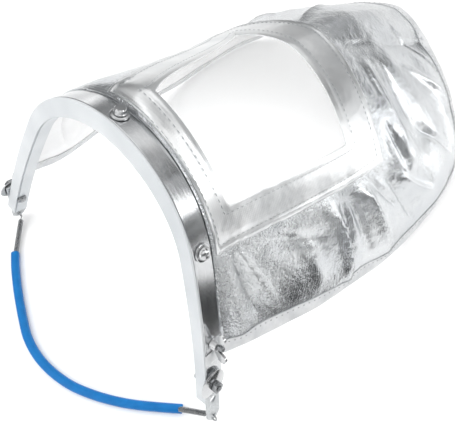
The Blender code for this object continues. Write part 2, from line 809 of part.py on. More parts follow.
def cut(piece, tool):
    modifier = piece.modifiers.new(f"hole_{tool.name}", "BOOLEAN")
    modifier.operation = "DIFFERENCE"
    modifier.solver = "EXACT"
    modifier.object = tool


def web_level(from_crown):
    """Height of the rail web's inner face below the band's outer face."""
    return -flange_depth(from_crown)


def build_washer(name, material, frame, base=GAP):
    bore = SHANK_RADIUS + HOLE_CLEARANCE
    top = base + WASHER_THICKNESS
    profile = (
        (bore, base),
        (WASHER_RADIUS, base),
        (WASHER_RADIUS, top - 0.3 * MM),
        (WASHER_RADIUS - 0.5 * MM, top),
        (bore, top),
    )
    return ringed(name, profile, material, frame)


def build_knob(name, material, frame, inner_level):
    base = 2 * GAP + WASHER_THICKNESS
    top = base + KNOB_HEIGHT
    profile = (
        (0, inner_level - 1.0 * MM),
        (SHANK_RADIUS, inner_level - 1.0 * MM),
        (SHANK_RADIUS, base),
        (KNOB_RADIUS + 0.5 * MM, base),
        (KNOB_RADIUS + 0.5 * MM, base + 0.6 * MM),
        (KNOB_RADIUS, base + 1.0 * MM),
        (KNOB_RADIUS, top - 0.5 * MM),
        (KNOB_RADIUS - 0.6 * MM, top),
        (0, top),
    )
    return turned(name, profile, material, frame)


def build_dome_screw(name, material, frame, inner_level):
    base = 2 * GAP + WASHER_THICKNESS
    profile = [
        (0, inner_level - 1.0 * MM),
        (SHANK_RADIUS, inner_level - 1.0 * MM),
        (SHANK_RADIUS, base),
        (DOME_RADIUS, base),
    ]
    for step in range(1, 6):
        angle = step * math.pi / 12
        profile.append((DOME_RADIUS * math.cos(angle), base + DOME_HEIGHT * math.sin(angle)))
    profile.append((0, base + DOME_HEIGHT))
    return turned(name, profile, material, frame)


def build_stud(name, material, frame, inner_level, reach):
    profile = (
        (0, inner_level - BOLT_HEAD_HEIGHT - GAP),
        (BOLT_HEAD_RADIUS * 0.7, inner_level - BOLT_HEAD_HEIGHT - GAP),
        (BOLT_HEAD_RADIUS, inner_level - BOLT_HEAD_HEIGHT * 0.5 - GAP),
        (BOLT_HEAD_RADIUS, inner_level - GAP),
        (SHANK_RADIUS, inner_level - GAP),
        (SHANK_RADIUS, reach - 0.5 * MM),
        (SHANK_RADIUS - 0.5 * MM, reach),
        (0, reach),
    )
    return turned(name, profile, material, frame)


def wing_outline():
    """Half outline of the wing nut seen from its side, as (across, height)."""
    lobe_across = WING_SPAN - WING_LOBE_RADIUS
    lobe_height = WING_BOSS_HEIGHT + WING_LOBE_RADIUS * 0.9
    points = [(WING_BOSS_RADIUS * 0.8, GAP + 0.4 * MM)]
    for step in range(9):
        angle = math.radians(-70 + step * 25)
        points.append(
            (
                lobe_across + WING_LOBE_RADIUS * math.cos(angle),
                lobe_height + WING_LOBE_RADIUS * math.sin(angle),
            )
        )
    points.append((WING_BOSS_RADIUS * 0.8, WING_BOSS_HEIGHT + GAP))
    return points


def build_wing_nut(name, material, frame):
    """Boss and two wings, joined into one body by unions, with a round bore."""
    bore = SHANK_RADIUS + HOLE_CLEARANCE
    boss = ringed(
        name,
        (
            (bore, GAP),
            (WING_BOSS_RADIUS + 0.6 * MM, GAP),
            (WING_BOSS_RADIUS, GAP + WING_BOSS_HEIGHT),
            (bore, GAP + WING_BOSS_HEIGHT),
        ),
        material,
        frame,
    )
    for side in (1, -1):
        outline = wing_outline()
        half = WING_THICKNESS / 2
        vertices = [frame @ Vector((half, side * a, h)) for a, h in outline]
        vertices += [frame @ Vector((-half, side * a, h)) for a, h in outline]
        count = len(outline)
        faces = [tuple(range(count)), tuple(reversed(range(count, 2 * count)))]
        for corner in range(count):
            after = (corner + 1) % count
            faces.append((corner, count + corner, count + after, after))
        wing = point_faces_out(add_mesh(f"{name}_wing_{side}", vertices, faces, material))
        wing.hide_render = True
        wing.display_type = "WIRE"
        modifier = boss.modifiers.new("wing", "BOOLEAN")
        modifier.operation = "UNION"
        modifier.solver = "EXACT"
        modifier.object = wing
    return boss


def build_cup_washer(name, material, frame, base):
    bore = SHANK_RADIUS + HOLE_CLEARANCE
    profile = (
        (bore, base + CUP_WASHER_RISE - WASHER_THICKNESS * 0.6),
        (HEX_RADIUS, base + CUP_WASHER_RISE - WASHER_THICKNESS * 0.6),
        (CUP_WASHER_RADIUS - 1.0 * MM, base),
        (CUP_WASHER_RADIUS, base),
        (CUP_WASHER_RADIUS, base + 0.5 * MM),
        (HEX_RADIUS, base + CUP_WASHER_RISE),
        (bore, base + CUP_WASHER_RISE),
    )
    return ringed(name, profile, material, frame, sides=24)


# Hanger plates and spring


def hanger_frame(side):
    """Frame at the leg bolt, turned about the bolt by the plate's swing."""
    frame = fastener_frame(side * (ARCH_HALF_LENGTH - LEG_BOLT_ALONG_LEG), 0.0, LEG_BOLT_BEHIND)
    down_sign = 1.0 if frame.col[1][2] < 0 else -1.0
    swing = HANGER_SWING_RIGHT if side > 0 else HANGER_SWING_LEFT
    turn = -swing * down_sign
    return frame @ Matrix.Rotation(turn, 4, "Z"), down_sign


def hanger_reach(side):
    """Length from the bolt to the plate's tip, so that the tip ends at its clearance above the floor."""
    frame, down_sign = hanger_frame(side)
    axis = frame.col[1].to_3d() * down_sign
    across = frame.col[0].to_3d()
    drop_at_corner = abs(across.z) * HANGER_WIDTH * 0.35
    height = frame.col[3][2]
    clearance = HANGER_TIP_CLEARANCE_RIGHT if side > 0 else HANGER_TIP_CLEARANCE_LEFT
    return (height - clearance - drop_at_corner) / -axis.z


def build_hanger(name, side, material):
    frame, down_sign = hanger_frame(side)
    reach = hanger_reach(side)
    half = HANGER_WIDTH / 2
    tip_radius = half * 0.62
    outline = [(-half, -HANGER_ABOVE_BOLT), (half, -HANGER_ABOVE_BOLT), (half, reach - tip_radius * 1.6)]
    for step in range(1, 6):
        angle = math.radians(step * 30)
        outline.append((tip_radius * math.cos(angle), reach - tip_radius + tip_radius * math.sin(angle)))
    outline.append((-half, reach - tip_radius * 1.6))
    low, high = GAP, GAP + HANGER_THICKNESS
    vertices = [frame @ Vector((a, d * down_sign, low)) for a, d in outline]
    vertices += [frame @ Vector((a, d * down_sign, high)) for a, d in outline]
    count = len(outline)
    faces = [tuple(range(count)), tuple(reversed(range(count, 2 * count)))]
    for corner in range(count):
        after = (corner + 1) % count
        faces.append((corner, after, count + after, count + corner))
    plate = point_faces_out(add_mesh(name, vertices, faces, material))
    hole_radii = {
        "bolt": SHANK_RADIUS + HOLE_CLEARANCE,
        "mid": HANGER_MID_HOLE_RADIUS,
        "tip": HANGER_HOLE_RADIUS,
    }
    for label, down in (("bolt", 0.0), ("mid", reach * HANGER_MID_HOLE_SHARE), ("tip", hook_hole_down(side))):
        spot = frame @ Matrix.Translation((0, down * down_sign, 0))
        radius = hole_radii[label]
        cut(plate, cutter(f"{name}_{label}_hole", spot, radius, -2 * MM, 5 * MM))
    return plate


def hook_hole_down(side):
    return hanger_reach(side) - HOOK_RADIUS * 1.55


def hook_hole_centre(side):
    frame, down_sign = hanger_frame(side)
    return frame @ Vector((0, hook_hole_down(side) * down_sign, GAP + HANGER_THICKNESS / 2))


def smooth_route(points, spacing):
    """Even points along a Catmull-Rom curve through the route's own points."""
    points = [np.array(p, float) for p in points]
    padded = [2 * points[0] - points[1]] + points + [2 * points[-1] - points[-2]]
    curve = []
    for before, start, end, after in zip(padded, padded[1:], padded[2:], padded[3:]):
        for t in np.linspace(0, 1, 12, endpoint=False):
            curve.append(
                0.5
                * (
                    2 * start
                    + (end - before) * t
                    + (2 * before - 5 * start + 4 * end - after) * t**2
                    + (3 * start - before - 3 * end + after) * t**3
                )
            )
    curve.append(points[-1])
    curve = np.array(curve)
    length = np.concatenate([[0.0], np.cumsum(np.linalg.norm(np.diff(curve, axis=0), axis=1))])
    count = max(int(round(length[-1] / spacing)), 2)
    even = np.linspace(0, length[-1], count + 1)
    return np.stack([np.interp(even, length, curve[:, axis]) for axis in range(3)], axis=1)


def sheath_points():
    route = [(x * MM, y * MM, SHEATH_RADIUS + GAP / 3) for x, y in SHEATH_ROUTE_MM]
    return smooth_route(route, 2.2 * 2 * SHEATH_RADIUS)


def build_sheath(material):
    points = sheath_points()
    curve = bpy.data.curves.new("spring_sheath", "CURVE")
    curve.dimensions = "3D"
    curve.bevel_depth = SHEATH_RADIUS
    curve.bevel_resolution = 3
    curve.use_fill_caps = True
    spline = curve.splines.new("POLY")
    spline.points.add(len(points) - 1)
    for handle, point in zip(spline.points, points):
        handle.co = (*point, 1.0)
    curve.materials.append(material)
    piece = bpy.data.objects.new("spring_sheath", curve)
    bpy.context.collection.objects.link(piece)
    return piece


def sweep_round(name, points, radii, sides, material):
    """Round bar along points with a radius at each, its ends capped."""
    points = [Vector(p) for p in points]
    rings = []
    side = None
    for index, point in enumerate(points):
        before = points[max(index - 1, 0)]
        after = points[min(index + 1, len(points) - 1)]
        heading = (after - before).normalized()
        if side is None:
            side = heading.orthogonal().normalized()
        side = (side - heading * side.dot(heading)).normalized()
        up = heading.cross(side)
        ring = []
        for step in range(sides):
            angle = 2 * math.pi * step / sides
            ring.append(point + (side * math.cos(angle) + up * math.sin(angle)) * radii[index])
        rings.append(ring)
    return sweep_profile(name, rings, material)


def build_spring_end(name, side, material):
    """Shown end of the spring: a straight body, then a hook through the hanger's tip hole."""
    route = sheath_points()
    if side > 0:
        mouth, inside = Vector(route[0]), Vector(route[1])
    else:
        mouth, inside = Vector(route[-1]), Vector(route[-2])
    leaving = (mouth - inside).normalized()
    hole = hook_hole_centre(side)
    frame, down_sign = hanger_frame(side)
    down = frame.col[1].to_3d() * down_sign
    out = frame.col[2].to_3d()
    centre = hole + down * HOOK_RADIUS
    hook_start = centre - out * HOOK_RADIUS
    hook_lead = (hook_start - mouth).normalized()
    body_end = hook_start - hook_lead * 1.2 * HOOK_RADIUS
    start = mouth + leaving * SPRING_MOUTH_GAP
    points, radii = [], []
    for share in np.linspace(0, 1, 9):
        pull = start.lerp(body_end, share)
        bow = leaving * (SPRING_SHOWN * 0.25 * share * (1 - share) ** 2)
        points.append(pull + bow)
        radii.append(SPRING_RADIUS)
    points.append(body_end + hook_lead * 0.6 * MM)
    radii.append(HOOK_WIRE_RADIUS * 1.4)
    for step in range(1, 17):
        angle = HOOK_TURN * step / 16
        points.append(centre - out * HOOK_RADIUS * math.cos(angle) - down * HOOK_RADIUS * math.sin(angle))
        radii.append(HOOK_WIRE_RADIUS)
    return sweep_round(name, points, radii, 8, material)


def stand_on_floor(pieces):
    """Parents all pieces to an empty, so that the footprint's middle on the floor is the origin."""
    bpy.context.view_layer.update()
    graph = bpy.context.evaluated_depsgraph_get()
    low = np.full(3, 1e9)
    high = -low
    for piece in pieces:
        if piece.hide_render:
            continue
        mesh = piece.evaluated_get(graph).to_mesh()
        corners = np.array([piece.matrix_world @ v.co for v in mesh.vertices])
        low, high = np.minimum(low, corners.min(axis=0)), np.maximum(high, corners.max(axis=0))
        piece.evaluated_get(graph).to_mesh_clear()
    base = bpy.data.objects.new("hood_base", None)
    bpy.context.collection.objects.link(base)
    base.location = (-(low[0] + high[0]) / 2, -(low[1] + high[1]) / 2, 0.0)
    for piece in bpy.data.objects:
        if piece is not base:
            piece.parent = base
    return base


def build_hood():
    remove_everything()
    rail_finish = finish_material("rail_finish", (0.76, 0.78, 0.79), 0.45, 0.0)
    band_finish = finish_material("band_finish", (0.75, 0.75, 0.76), 0.25, 1.0)
    cloth_finish = finish_material("aluminized_cloth", (0.86, 0.87, 0.88), 0.3, 1.0)
    border_finish = finish_material("border_cloth", (0.88, 0.89, 0.9), 0.3, 1.0)
    window_finish = finish_material("clear_sheet", (0.95, 0.96, 0.96), 0.05, 0.0, alpha=0.2)
    binding_finish = finish_material("binding_tape", (0.9, 0.9, 0.91), 0.5, 0.0)
    steel_finish = finish_material("plated_steel", (0.7, 0.7, 0.71), 0.2, 1.0)
    hanger_finish = finish_material("hanger_steel", (0.72, 0.73, 0.73), 0.35, 1.0)
    spring_finish = finish_material("spring_steel", (0.55, 0.55, 0.56), 0.35, 1.0)
    sheath_finish = finish_material("blue_sheath", (0.012, 0.231, 0.686), 0.45, 0.0)
    finish_material("hole_edge", (0.3, 0.3, 0.3), 0.5, 0.0)

    rail = build_rail(rail_finish)
    band = build_band(band_finish)
    grid = cloth_grid()
    cloth = build_hood_cloth(grid, cloth_finish)
    border = build_window_border(grid, border_finish)
    window = build_window(grid, window_finish)
    hem = build_hem(grid, binding_finish)
    pieces = [rail, band, cloth, border, window, hem]

    def drill(label, from_crown, behind=BAND_MIDDLE):
        frame = fastener_frame(from_crown, 0.0, behind)
        level = web_level(from_crown)
        tool = cutter(f"{label}_hole", frame, SHANK_RADIUS + HOLE_CLEARANCE, level - 3 * MM, 3 * MM)
        for piece in (rail, band):
            cut(piece, tool)
        if abs(from_crown) < CLOTH_TOP_LENGTH:
            cut(cloth, tool)
        return frame, level

    frame, level = drill("crown_knob", 0.0)
    pieces.append(build_washer("crown_washer", steel_finish, frame))
    pieces.append(build_knob("crown_knob", steel_finish, frame, level))

    frame, level = drill("dome_screw", ARCH_HALF_LENGTH - DOME_SCREW_ALONG_LEG)
    pieces.append(build_washer("dome_washer", steel_finish, frame))
    pieces.append(build_dome_screw("dome_screw", steel_finish, frame, level))

    frame, level = drill("wing_nut", ARCH_HALF_LENGTH - WING_NUT_ALONG_LEG)
    pieces.append(build_stud("wing_stud", steel_finish, frame, level, STUD_PROJECTION))
    pieces.append(build_wing_nut("wing_nut", steel_finish, frame))

    for side, word in ((1, "right"), (-1, "left")):
        bolt_place = side * (ARCH_HALF_LENGTH - LEG_BOLT_ALONG_LEG)
        frame, level = drill(f"leg_bolt_{word}", bolt_place, LEG_BOLT_BEHIND)
        washer_base = 2 * GAP + HANGER_THICKNESS
        nut_base = washer_base + CUP_WASHER_RISE + GAP
        bolt_reach = nut_base + HEX_HEIGHT + 1.2 * MM
        pieces.append(build_hanger(f"hanger_{word}", side, hanger_finish))
        pieces.append(build_cup_washer(f"leg_washer_{word}", steel_finish, frame, washer_base))
        pieces.append(build_hex_nut(f"leg_nut_{word}", steel_finish, frame, nut_base))
        pieces.append(build_stud(f"leg_bolt_{word}", steel_finish, frame, level, bolt_reach))
        pieces.append(build_spring_end(f"spring_end_{word}", side, spring_finish))
        pieces.append(build_hem_tab(f"hem_tab_{word}", side, binding_finish))

    pieces.append(build_sheath(sheath_finish))
    stand_on_floor(pieces)


build_hood()
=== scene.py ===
"""Looks of the aluminized hood: draped foil cloth, window, bracket, fasteners and retaining spring."""

import json
import math

import bmesh
import bpy
import numpy as np
from mathutils import Matrix, Vector, noise

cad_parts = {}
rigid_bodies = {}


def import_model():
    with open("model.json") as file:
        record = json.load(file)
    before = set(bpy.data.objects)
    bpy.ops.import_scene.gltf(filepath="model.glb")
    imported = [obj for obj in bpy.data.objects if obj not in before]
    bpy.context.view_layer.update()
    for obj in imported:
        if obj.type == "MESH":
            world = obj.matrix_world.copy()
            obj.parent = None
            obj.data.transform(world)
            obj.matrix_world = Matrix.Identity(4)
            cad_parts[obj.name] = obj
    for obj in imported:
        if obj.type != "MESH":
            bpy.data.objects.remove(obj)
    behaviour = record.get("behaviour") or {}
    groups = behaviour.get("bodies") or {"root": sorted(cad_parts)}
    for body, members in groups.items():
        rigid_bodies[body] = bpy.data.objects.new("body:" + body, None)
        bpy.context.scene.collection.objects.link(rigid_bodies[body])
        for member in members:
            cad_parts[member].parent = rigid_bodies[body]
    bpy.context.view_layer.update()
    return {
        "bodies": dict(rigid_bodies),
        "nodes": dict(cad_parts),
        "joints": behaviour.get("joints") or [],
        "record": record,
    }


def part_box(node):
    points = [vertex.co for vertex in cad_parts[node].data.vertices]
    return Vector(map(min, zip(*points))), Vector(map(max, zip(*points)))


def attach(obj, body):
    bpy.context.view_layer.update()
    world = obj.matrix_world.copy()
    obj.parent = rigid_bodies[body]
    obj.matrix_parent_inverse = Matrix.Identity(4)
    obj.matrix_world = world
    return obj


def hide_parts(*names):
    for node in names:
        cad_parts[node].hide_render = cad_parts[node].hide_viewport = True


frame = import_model()

MM = 0.001

# Fit between neighbouring pieces
GAP = 0.3 * MM

# Bracket arch, measured in its own plane, which leans back over the hood
ARCH_HALF_WIDTH = 120 * MM
ARCH_RISE = 170 * MM
ARCH_FOOT_HEIGHT = 41 * MM
ARCH_LEAN = math.radians(17.5)
CROWN_TURN = math.radians(66)
LEG_SPLAY = math.radians(14.5)

# Rail: a front flange with an inner web behind it
FLANGE_THICKNESS = 1.6 * MM
FLANGE_DEPTH_AT_LEG = 9.3 * MM
FLANGE_DEPTH_AT_CROWN = 13.3 * MM
WEB_THICKNESS = 1.4 * MM
RAIL_WIDTH = 12 * MM

# Band: the outer hoop behind the flange
BAND_THICKNESS = 1.2 * MM
BAND_WIDTH = 14.2 * MM
BAND_END_ABOVE_FOOT = 11 * MM

# Cloth, window and binding
CLOTH_THICKNESS = 1.2 * MM
BORDER_THICKNESS = 1.0 * MM
WINDOW_THICKNESS = 1.0 * MM
BINDING_THICKNESS = 0.8 * MM
BINDING_WIDTH = 10 * MM
BINDING_ALONG = 0.955
BINDING_ACROSS = 0.945
HEM_TAB_START = 0.4 * MM
TUCK_DEPTH = 11 * MM
CLOTH_START_ALONG_LEG = 40 * MM

# Overall drape of the hood
HOOD_REACH = 408 * MM
HOOD_HALF_WIDTH = 144 * MM
HOOD_HEIGHT = 200 * MM
HOOD_HALF_GIRTH = 260 * MM
FLOOR_CLEARANCE = 2.9 * MM

# Window and border, as shares of the drape along its length and across it
WINDOW_ALONG = (0.170, 0.355)
WINDOW_ACROSS = (-0.15, 0.425)
BORDER_ALONG = (0.035, 0.468)
BORDER_ACROSS = (-0.285, 0.565)
FAR_EDGE_SHIFT_AT_BROW = 0.17
FAR_EDGE_SHIFT_AT_CHIN = -0.09
WINDOW_LAP = (0.010, 0.018)
OPENING_SLACK = (0.005, 0.008)
HEM_CORNER_START = 0.84
HEM_CORNER_CUT = 0.10
HEM_FLAT_ACROSS = 0.13
HEM_FLAT_ALONG = 0.06

# Hanger plates and their bolts
HANGER_WIDTH = 12.6 * MM
HANGER_THICKNESS = 1.5 * MM
HANGER_ABOVE_BOLT = 7 * MM
HANGER_HOLE_RADIUS = 2.1 * MM
HANGER_MID_HOLE_RADIUS = 2.9 * MM
HANGER_MID_HOLE_SHARE = 0.42
# Right (1) and left (-1) plate: height of the tip above the floor, and swing about the bolt
HANGER_TIP_CLEARANCE = {1: 18 * MM, -1: 3 * MM}
HANGER_SWING = {1: math.radians(1), -1: math.radians(12)}

# Fasteners
SHANK_RADIUS = 1.8 * MM
HOLE_CLEARANCE = 0.3 * MM
WASHER_RADIUS = 5.9 * MM
WASHER_THICKNESS = 1.1 * MM
KNOB_RADIUS = 3.6 * MM
KNOB_HEIGHT = 3.6 * MM
DOME_RADIUS = 4.4 * MM
DOME_HEIGHT = 3.6 * MM
CUP_WASHER_RADIUS = 11.2 * MM
CUP_WASHER_RISE = 2.1 * MM
HEX_RADIUS = 4.4 * MM
HEX_HEIGHT = 3.6 * MM
BOLT_HEAD_RADIUS = 4.0 * MM
BOLT_HEAD_HEIGHT = 2.2 * MM
STUD_PROJECTION = 9.5 * MM
WING_BOSS_RADIUS = 3.9 * MM
WING_BOSS_HEIGHT = 4.6 * MM
WING_SPAN = 12.5 * MM
WING_THICKNESS = 1.8 * MM
WING_LOBE_RADIUS = 3.6 * MM

# Places of the fasteners, measured along the arch from its foot
LEG_BOLT_ALONG_LEG = 21.5 * MM
LEG_BOLT_BEHIND = 4.6 * MM
WING_NUT_ALONG_LEG = 56 * MM
DOME_SCREW_ALONG_LEG = 129 * MM

# Retaining spring and its sheath
SHEATH_RADIUS = 3.6 * MM
SPRING_RADIUS = 2.2 * MM
HOOK_WIRE_RADIUS = 0.55 * MM
HOOK_RADIUS = 3.1 * MM
HOOK_TURN = math.radians(315)
SPRING_BOW = 4.25 * MM

# Sheath route on the floor, in millimetres from under the arch's middle
SHEATH_ROUTE_MM = (
    (103.0, 2.2), (86.0, -11.7), (73.0, -21.7), (59.0, -30.8), (43.8, -38.8), (28.5, -45.0), (13.2, -48.5),
    (-1.0, -49.8), (-15.0, -49.0), (-29.8, -45.6), (-43.8, -39.7), (-58.6, -32.6), (-72.5, -25.4),
    (-87.0, -17.0), (-100.5, -8.0),
)

# Drape of the cloth, a row for each section from the bracket to the chin hem:
# along (share of the drape), foot_run and crown_run (shares of the cloth's run beyond the bracket),
# half_width (share of the half width), foot_z and crown_z (shares of the height),
# roundness (exponent of the section's outline), arch (how much of the bracket's outline it keeps)
DRAPE_COLUMNS = ("along", "foot_run", "crown_run", "half_width", "foot_z", "crown_z", "roundness", "arch")
DRAPE_ROWS = (
    (0.00, 0.000, 0.000, 0.756, 0.350, 0.971, 1.40, 1.0),
    (0.15, 0.084, 0.036, 0.800, 0.265, 1.000, 1.38, 0.6),
    (0.35, 0.322, 0.443, 0.926, 0.140, 0.735, 1.60, 0.2),
    (0.60, 0.648, 0.666, 1.000, 0.000, 0.663, 1.45, 0.0),
    (0.80, 0.879, 0.843, 0.948, 0.000, 0.523, 1.47, 0.0),
    (1.00, 0.956, 1.000, 0.862, 0.000, 0.386, 1.41, 0.0),
)

# Folds and dents of the cloth, a row for each:
# start and end (along, across), width and height (shares of the reach; a negative height is a dent)
FOLD_COLUMNS = ("start_along", "start_across", "end_along", "end_across", "width", "height")
FOLD_ROWS = (
    (0.31, 0.60, 0.37, 0.98, 0.020, 0.012),
    (0.39, 0.60, 0.48, 0.95, 0.022, 0.014),
    (0.34, 0.62, 0.42, 0.96, 0.018, -0.010),
    (0.13, 0.60, 0.20, 0.96, 0.028, -0.012),
    (0.10, 0.56, 0.10, 0.98, 0.016, 0.008),
    (0.47, 0.10, 0.93, 0.24, 0.020, -0.012),
    (0.50, 0.28, 0.58, 0.62, 0.024, 0.010),
    (0.54, 0.24, 0.66, 0.60, 0.022, -0.010),
    (0.60, 0.60, 0.70, 0.90, 0.026, 0.012),
    (0.74, 0.30, 0.82, 0.74, 0.024, -0.010),
    (0.30, -0.62, 0.36, -0.97, 0.022, -0.012),
    (0.42, -0.60, 0.47, -0.95, 0.020, -0.010),
    (0.14, -0.60, 0.20, -0.95, 0.026, -0.010),
    (0.50, -0.20, 0.88, -0.30, 0.024, -0.010),
    (0.56, -0.45, 0.68, -0.88, 0.024, -0.012),
    (0.76, -0.35, 0.84, -0.80, 0.024, -0.006),
)

# Finer creases that only the look of the cloth needs, a row for each, as the folds above
CREASE_ROWS = (
    (0.300, 0.563, 0.375, 1.000, 0.010, 0.0130),
    (0.322, 0.575, 0.392, 0.980, 0.009, -0.0100),
    (0.379, 0.585, 0.484, 0.940, 0.011, 0.0140),
    (0.345, 0.600, 0.430, 0.900, 0.009, -0.0100),
    (0.140, 0.575, 0.175, 0.905, 0.012, -0.0110),
    (0.160, 0.600, 0.215, 0.900, 0.009, 0.0090),
    (0.205, 0.590, 0.290, 0.714, 0.016, -0.0070),
    (0.250, 0.600, 0.300, 0.900, 0.010, 0.0060),
    (0.470, 0.090, 0.620, 0.150, 0.010, -0.0060),
    (0.690, 0.175, 0.950, 0.230, 0.009, -0.0060),
    (0.550, 0.220, 0.570, 0.560, 0.018, 0.0085),
    (0.610, 0.250, 0.640, 0.540, 0.012, -0.0055),
    (0.540, 0.675, 0.660, 0.865, 0.012, 0.0110),
    (0.480, 0.620, 0.600, 0.930, 0.009, -0.0090),
    (0.520, 0.450, 0.560, 0.640, 0.009, -0.0080),
    (0.410, 0.600, 0.520, 0.780, 0.008, -0.0080),
    (0.660, 0.560, 0.800, 0.820, 0.010, -0.0080),
    (0.700, 0.300, 0.900, 0.560, 0.011, 0.0080),
    (0.780, 0.120, 0.940, 0.420, 0.009, -0.0070),
    (0.500, -0.100, 0.700, -0.180, 0.010, 0.0070),
    (0.500, -0.350, 0.620, -0.700, 0.010, -0.0090),
    (0.640, -0.400, 0.760, -0.860, 0.010, 0.0090),
    (0.780, -0.250, 0.920, -0.600, 0.010, -0.0070),
    (0.310, -0.620, 0.400, -0.960, 0.009, 0.0090),
    (0.220, -0.560, 0.280, -0.940, 0.009, -0.0080),
    (0.110, -0.500, 0.170, -0.900, 0.009, 0.0070),
)
PUCKER_HEIGHT = 0.35 * MM
PUCKER_LENGTH = 5.5 * MM
RIPPLE_HEIGHT = 0.8 * MM
RIPPLE_LENGTH = 34 * MM

# Fine creasing: where the seam gathers the cloth, and two rubbed places, as (along, across, their widths)
SEAM_GATHER_WIDTH = 9 * MM
BROW_STREAK = (0.09, 0.15, 0.09, 0.3)
CHEEK_PATCH = (0.17, 0.76, 0.06, 0.15)
GRAIN_SHARES = (0.08, 0.5, 0.9, 0.7)
GRAIN_LIMIT = 1.2

# Dark groove between the rail's flange and its web
GROOVE_FRONT = 0.6 * MM
GROOVE_BACK = 2.0 * MM
GROOVE_DEPTH = 1.2 * MM

# Seams and stitches
SEAM_RIDGE_HEIGHT = 0.7 * MM
SEAM_RIDGE_WIDTH = 1.6 * MM
STITCH_PITCH = 4.2 * MM
STITCH_LENGTH = 2.6 * MM
THREAD_RADIUS = 0.2 * MM
HEM_STITCH_PITCH = 5.2 * MM
TAPE_LIFT = 0.12 * MM

# Spring coil
COIL_WIRE_RADIUS = 0.42 * MM
COIL_PITCH = 1.0 * MM
SHEATH_WALL = 0.8 * MM
SHEATH_MOUTH_DEPTH = 9 * MM

# Mesh fineness
CROWN_STEPS = 96
LEG_STEPS = 26
ROUND_SIDES = 48
HEX_SIDES = 24
SHEATH_SIDES = 28
SHEATH_SPACING = 2 * MM
COIL_SIDES = 8
COIL_STEPS = 14
SLOPE_STEP = 0.004
FLAT_SLOPE_STEP = 0.01

# Wave texture scale that sets its bands one metre apart
WAVE_SCALE = 0.314


def rgb(hex_code):
    """Linear colour of an sRGB hex value."""
    parts = [int(hex_code[i : i + 2], 16) / 255 for i in (1, 3, 5)]
    linear = [c / 12.92 if c <= 0.04045 else ((c + 0.055) / 1.055) ** 2.4 for c in parts]
    return (*linear, 1.0)


def add_node(material, kind, settings=None, links=None):
    """Adds a node; settings are attributes or sockets by name, links are outputs fed into its sockets."""
    tree = material.node_tree
    node = tree.nodes.new(kind)
    for name, value in (settings or {}).items():
        if isinstance(name, str) and hasattr(node, name):
            setattr(node, name, value)
        else:
            node.inputs[name].default_value = value
    for name, source in (links or {}).items():
        tree.links.new(source, node.inputs[name])
    return node


def fresh_material(name, colour, roughness, metallic, **more):
    """A material with one shader whose constant values sit on its own sockets."""
    material = bpy.data.materials.new(name)
    material.use_nodes = True
    shader = material.node_tree.nodes["Principled BSDF"]
    shader.inputs["Base Color"].default_value = rgb(colour)
    shader.inputs["Roughness"].default_value = roughness
    shader.inputs["Metallic"].default_value = metallic
    for socket, value in more.items():
        shader.inputs[socket].default_value = value
    material.diffuse_color = rgb(colour)
    return material


def join(material, output, socket):
    """Feeds an output into a socket of the material's shader."""
    tree = material.node_tree
    tree.links.new(output, tree.nodes["Principled BSDF"].inputs[socket])


def speckle(material, size, detail=3.0, roughness=0.55, stretch=(1, 1, 1), coordinates=None):
    """Noise whose features are about size across, in metres, on the object unless told otherwise."""
    if coordinates is None:
        coordinates = object_coordinates(material)
    mapping = add_node(material, "ShaderNodeMapping", {"Scale": stretch}, {"Vector": coordinates})
    place = {"Vector": mapping.outputs["Vector"]}
    settings = {"Scale": 1 / size, "Detail": detail, "Roughness": roughness}
    return add_node(material, "ShaderNodeTexNoise", settings, place).outputs["Fac"]


def tone(material, factor, low, high, start=0.3, end=0.7):
    """Colour ramp between two hex colours."""
    ramp = add_node(material, "ShaderNodeValToRGB", None, {"Fac": factor})
    ramp.color_ramp.elements[0].position = start
    ramp.color_ramp.elements[1].position = end
    ramp.color_ramp.elements[0].color = rgb(low)
    ramp.color_ramp.elements[1].color = rgb(high)
    return ramp.outputs["Color"]


def spread(material, factor, low, high, start=0.3, end=0.7):
    """Number that runs from low to high as the factor runs from start to end."""
    settings = {"From Min": start, "From Max": end, "To Min": low, "To Max": high}
    return add_node(material, "ShaderNodeMapRange", settings, {"Value": factor}).outputs["Result"]


def tinted(material, factor, low, high, start=0.3, end=0.7):
    join(material, tone(material, factor, low, high, start, end), "Base Color")


def roughened(material, factor, low, high):
    join(material, spread(material, factor, low, high), "Roughness")


def waves(material, direction, pitch, distortion, detail_scale=1.0):
    """Even bands at a pitch in metres, across X or Y."""
    settings = {"wave_type": "BANDS", "bands_direction": direction, "Scale": WAVE_SCALE / pitch}
    settings |= {"Distortion": distortion, "Detail": 1.0, "Detail Scale": detail_scale}
    run = {"Vector": uv_coordinates(material)}
    return add_node(material, "ShaderNodeTexWave", settings, run).outputs["Fac"]


def product(material, first, second):
    links = {0: first, 1: second}
    return add_node(material, "ShaderNodeMath", {"operation": "MULTIPLY"}, links).outputs["Value"]


def rubbed(material, crackle):
    """Fine crackle, as strong as the cloth's grain says at each place."""
    grain = add_node(material, "ShaderNodeAttribute", {"attribute_name": "grain"}).outputs["Fac"]
    return product(material, crackle, grain)


def bumped(material, *layers):
    """Stacks bump layers of (height output, height in metres) onto the shader."""
    normal = None
    for height, distance in layers:
        links = {"Height": height}
        if normal is not None:
            links["Normal"] = normal
        node = add_node(material, "ShaderNodeBump", {"Distance": distance, "Strength": 1.0}, links)
        normal = node.outputs["Normal"]
    join(material, normal, "Normal")


def object_coordinates(material):
    return add_node(material, "ShaderNodeTexCoord").outputs["Object"]


def uv_coordinates(material):
    return add_node(material, "ShaderNodeUVMap", {"uv_map": "run"}).outputs["UV"]


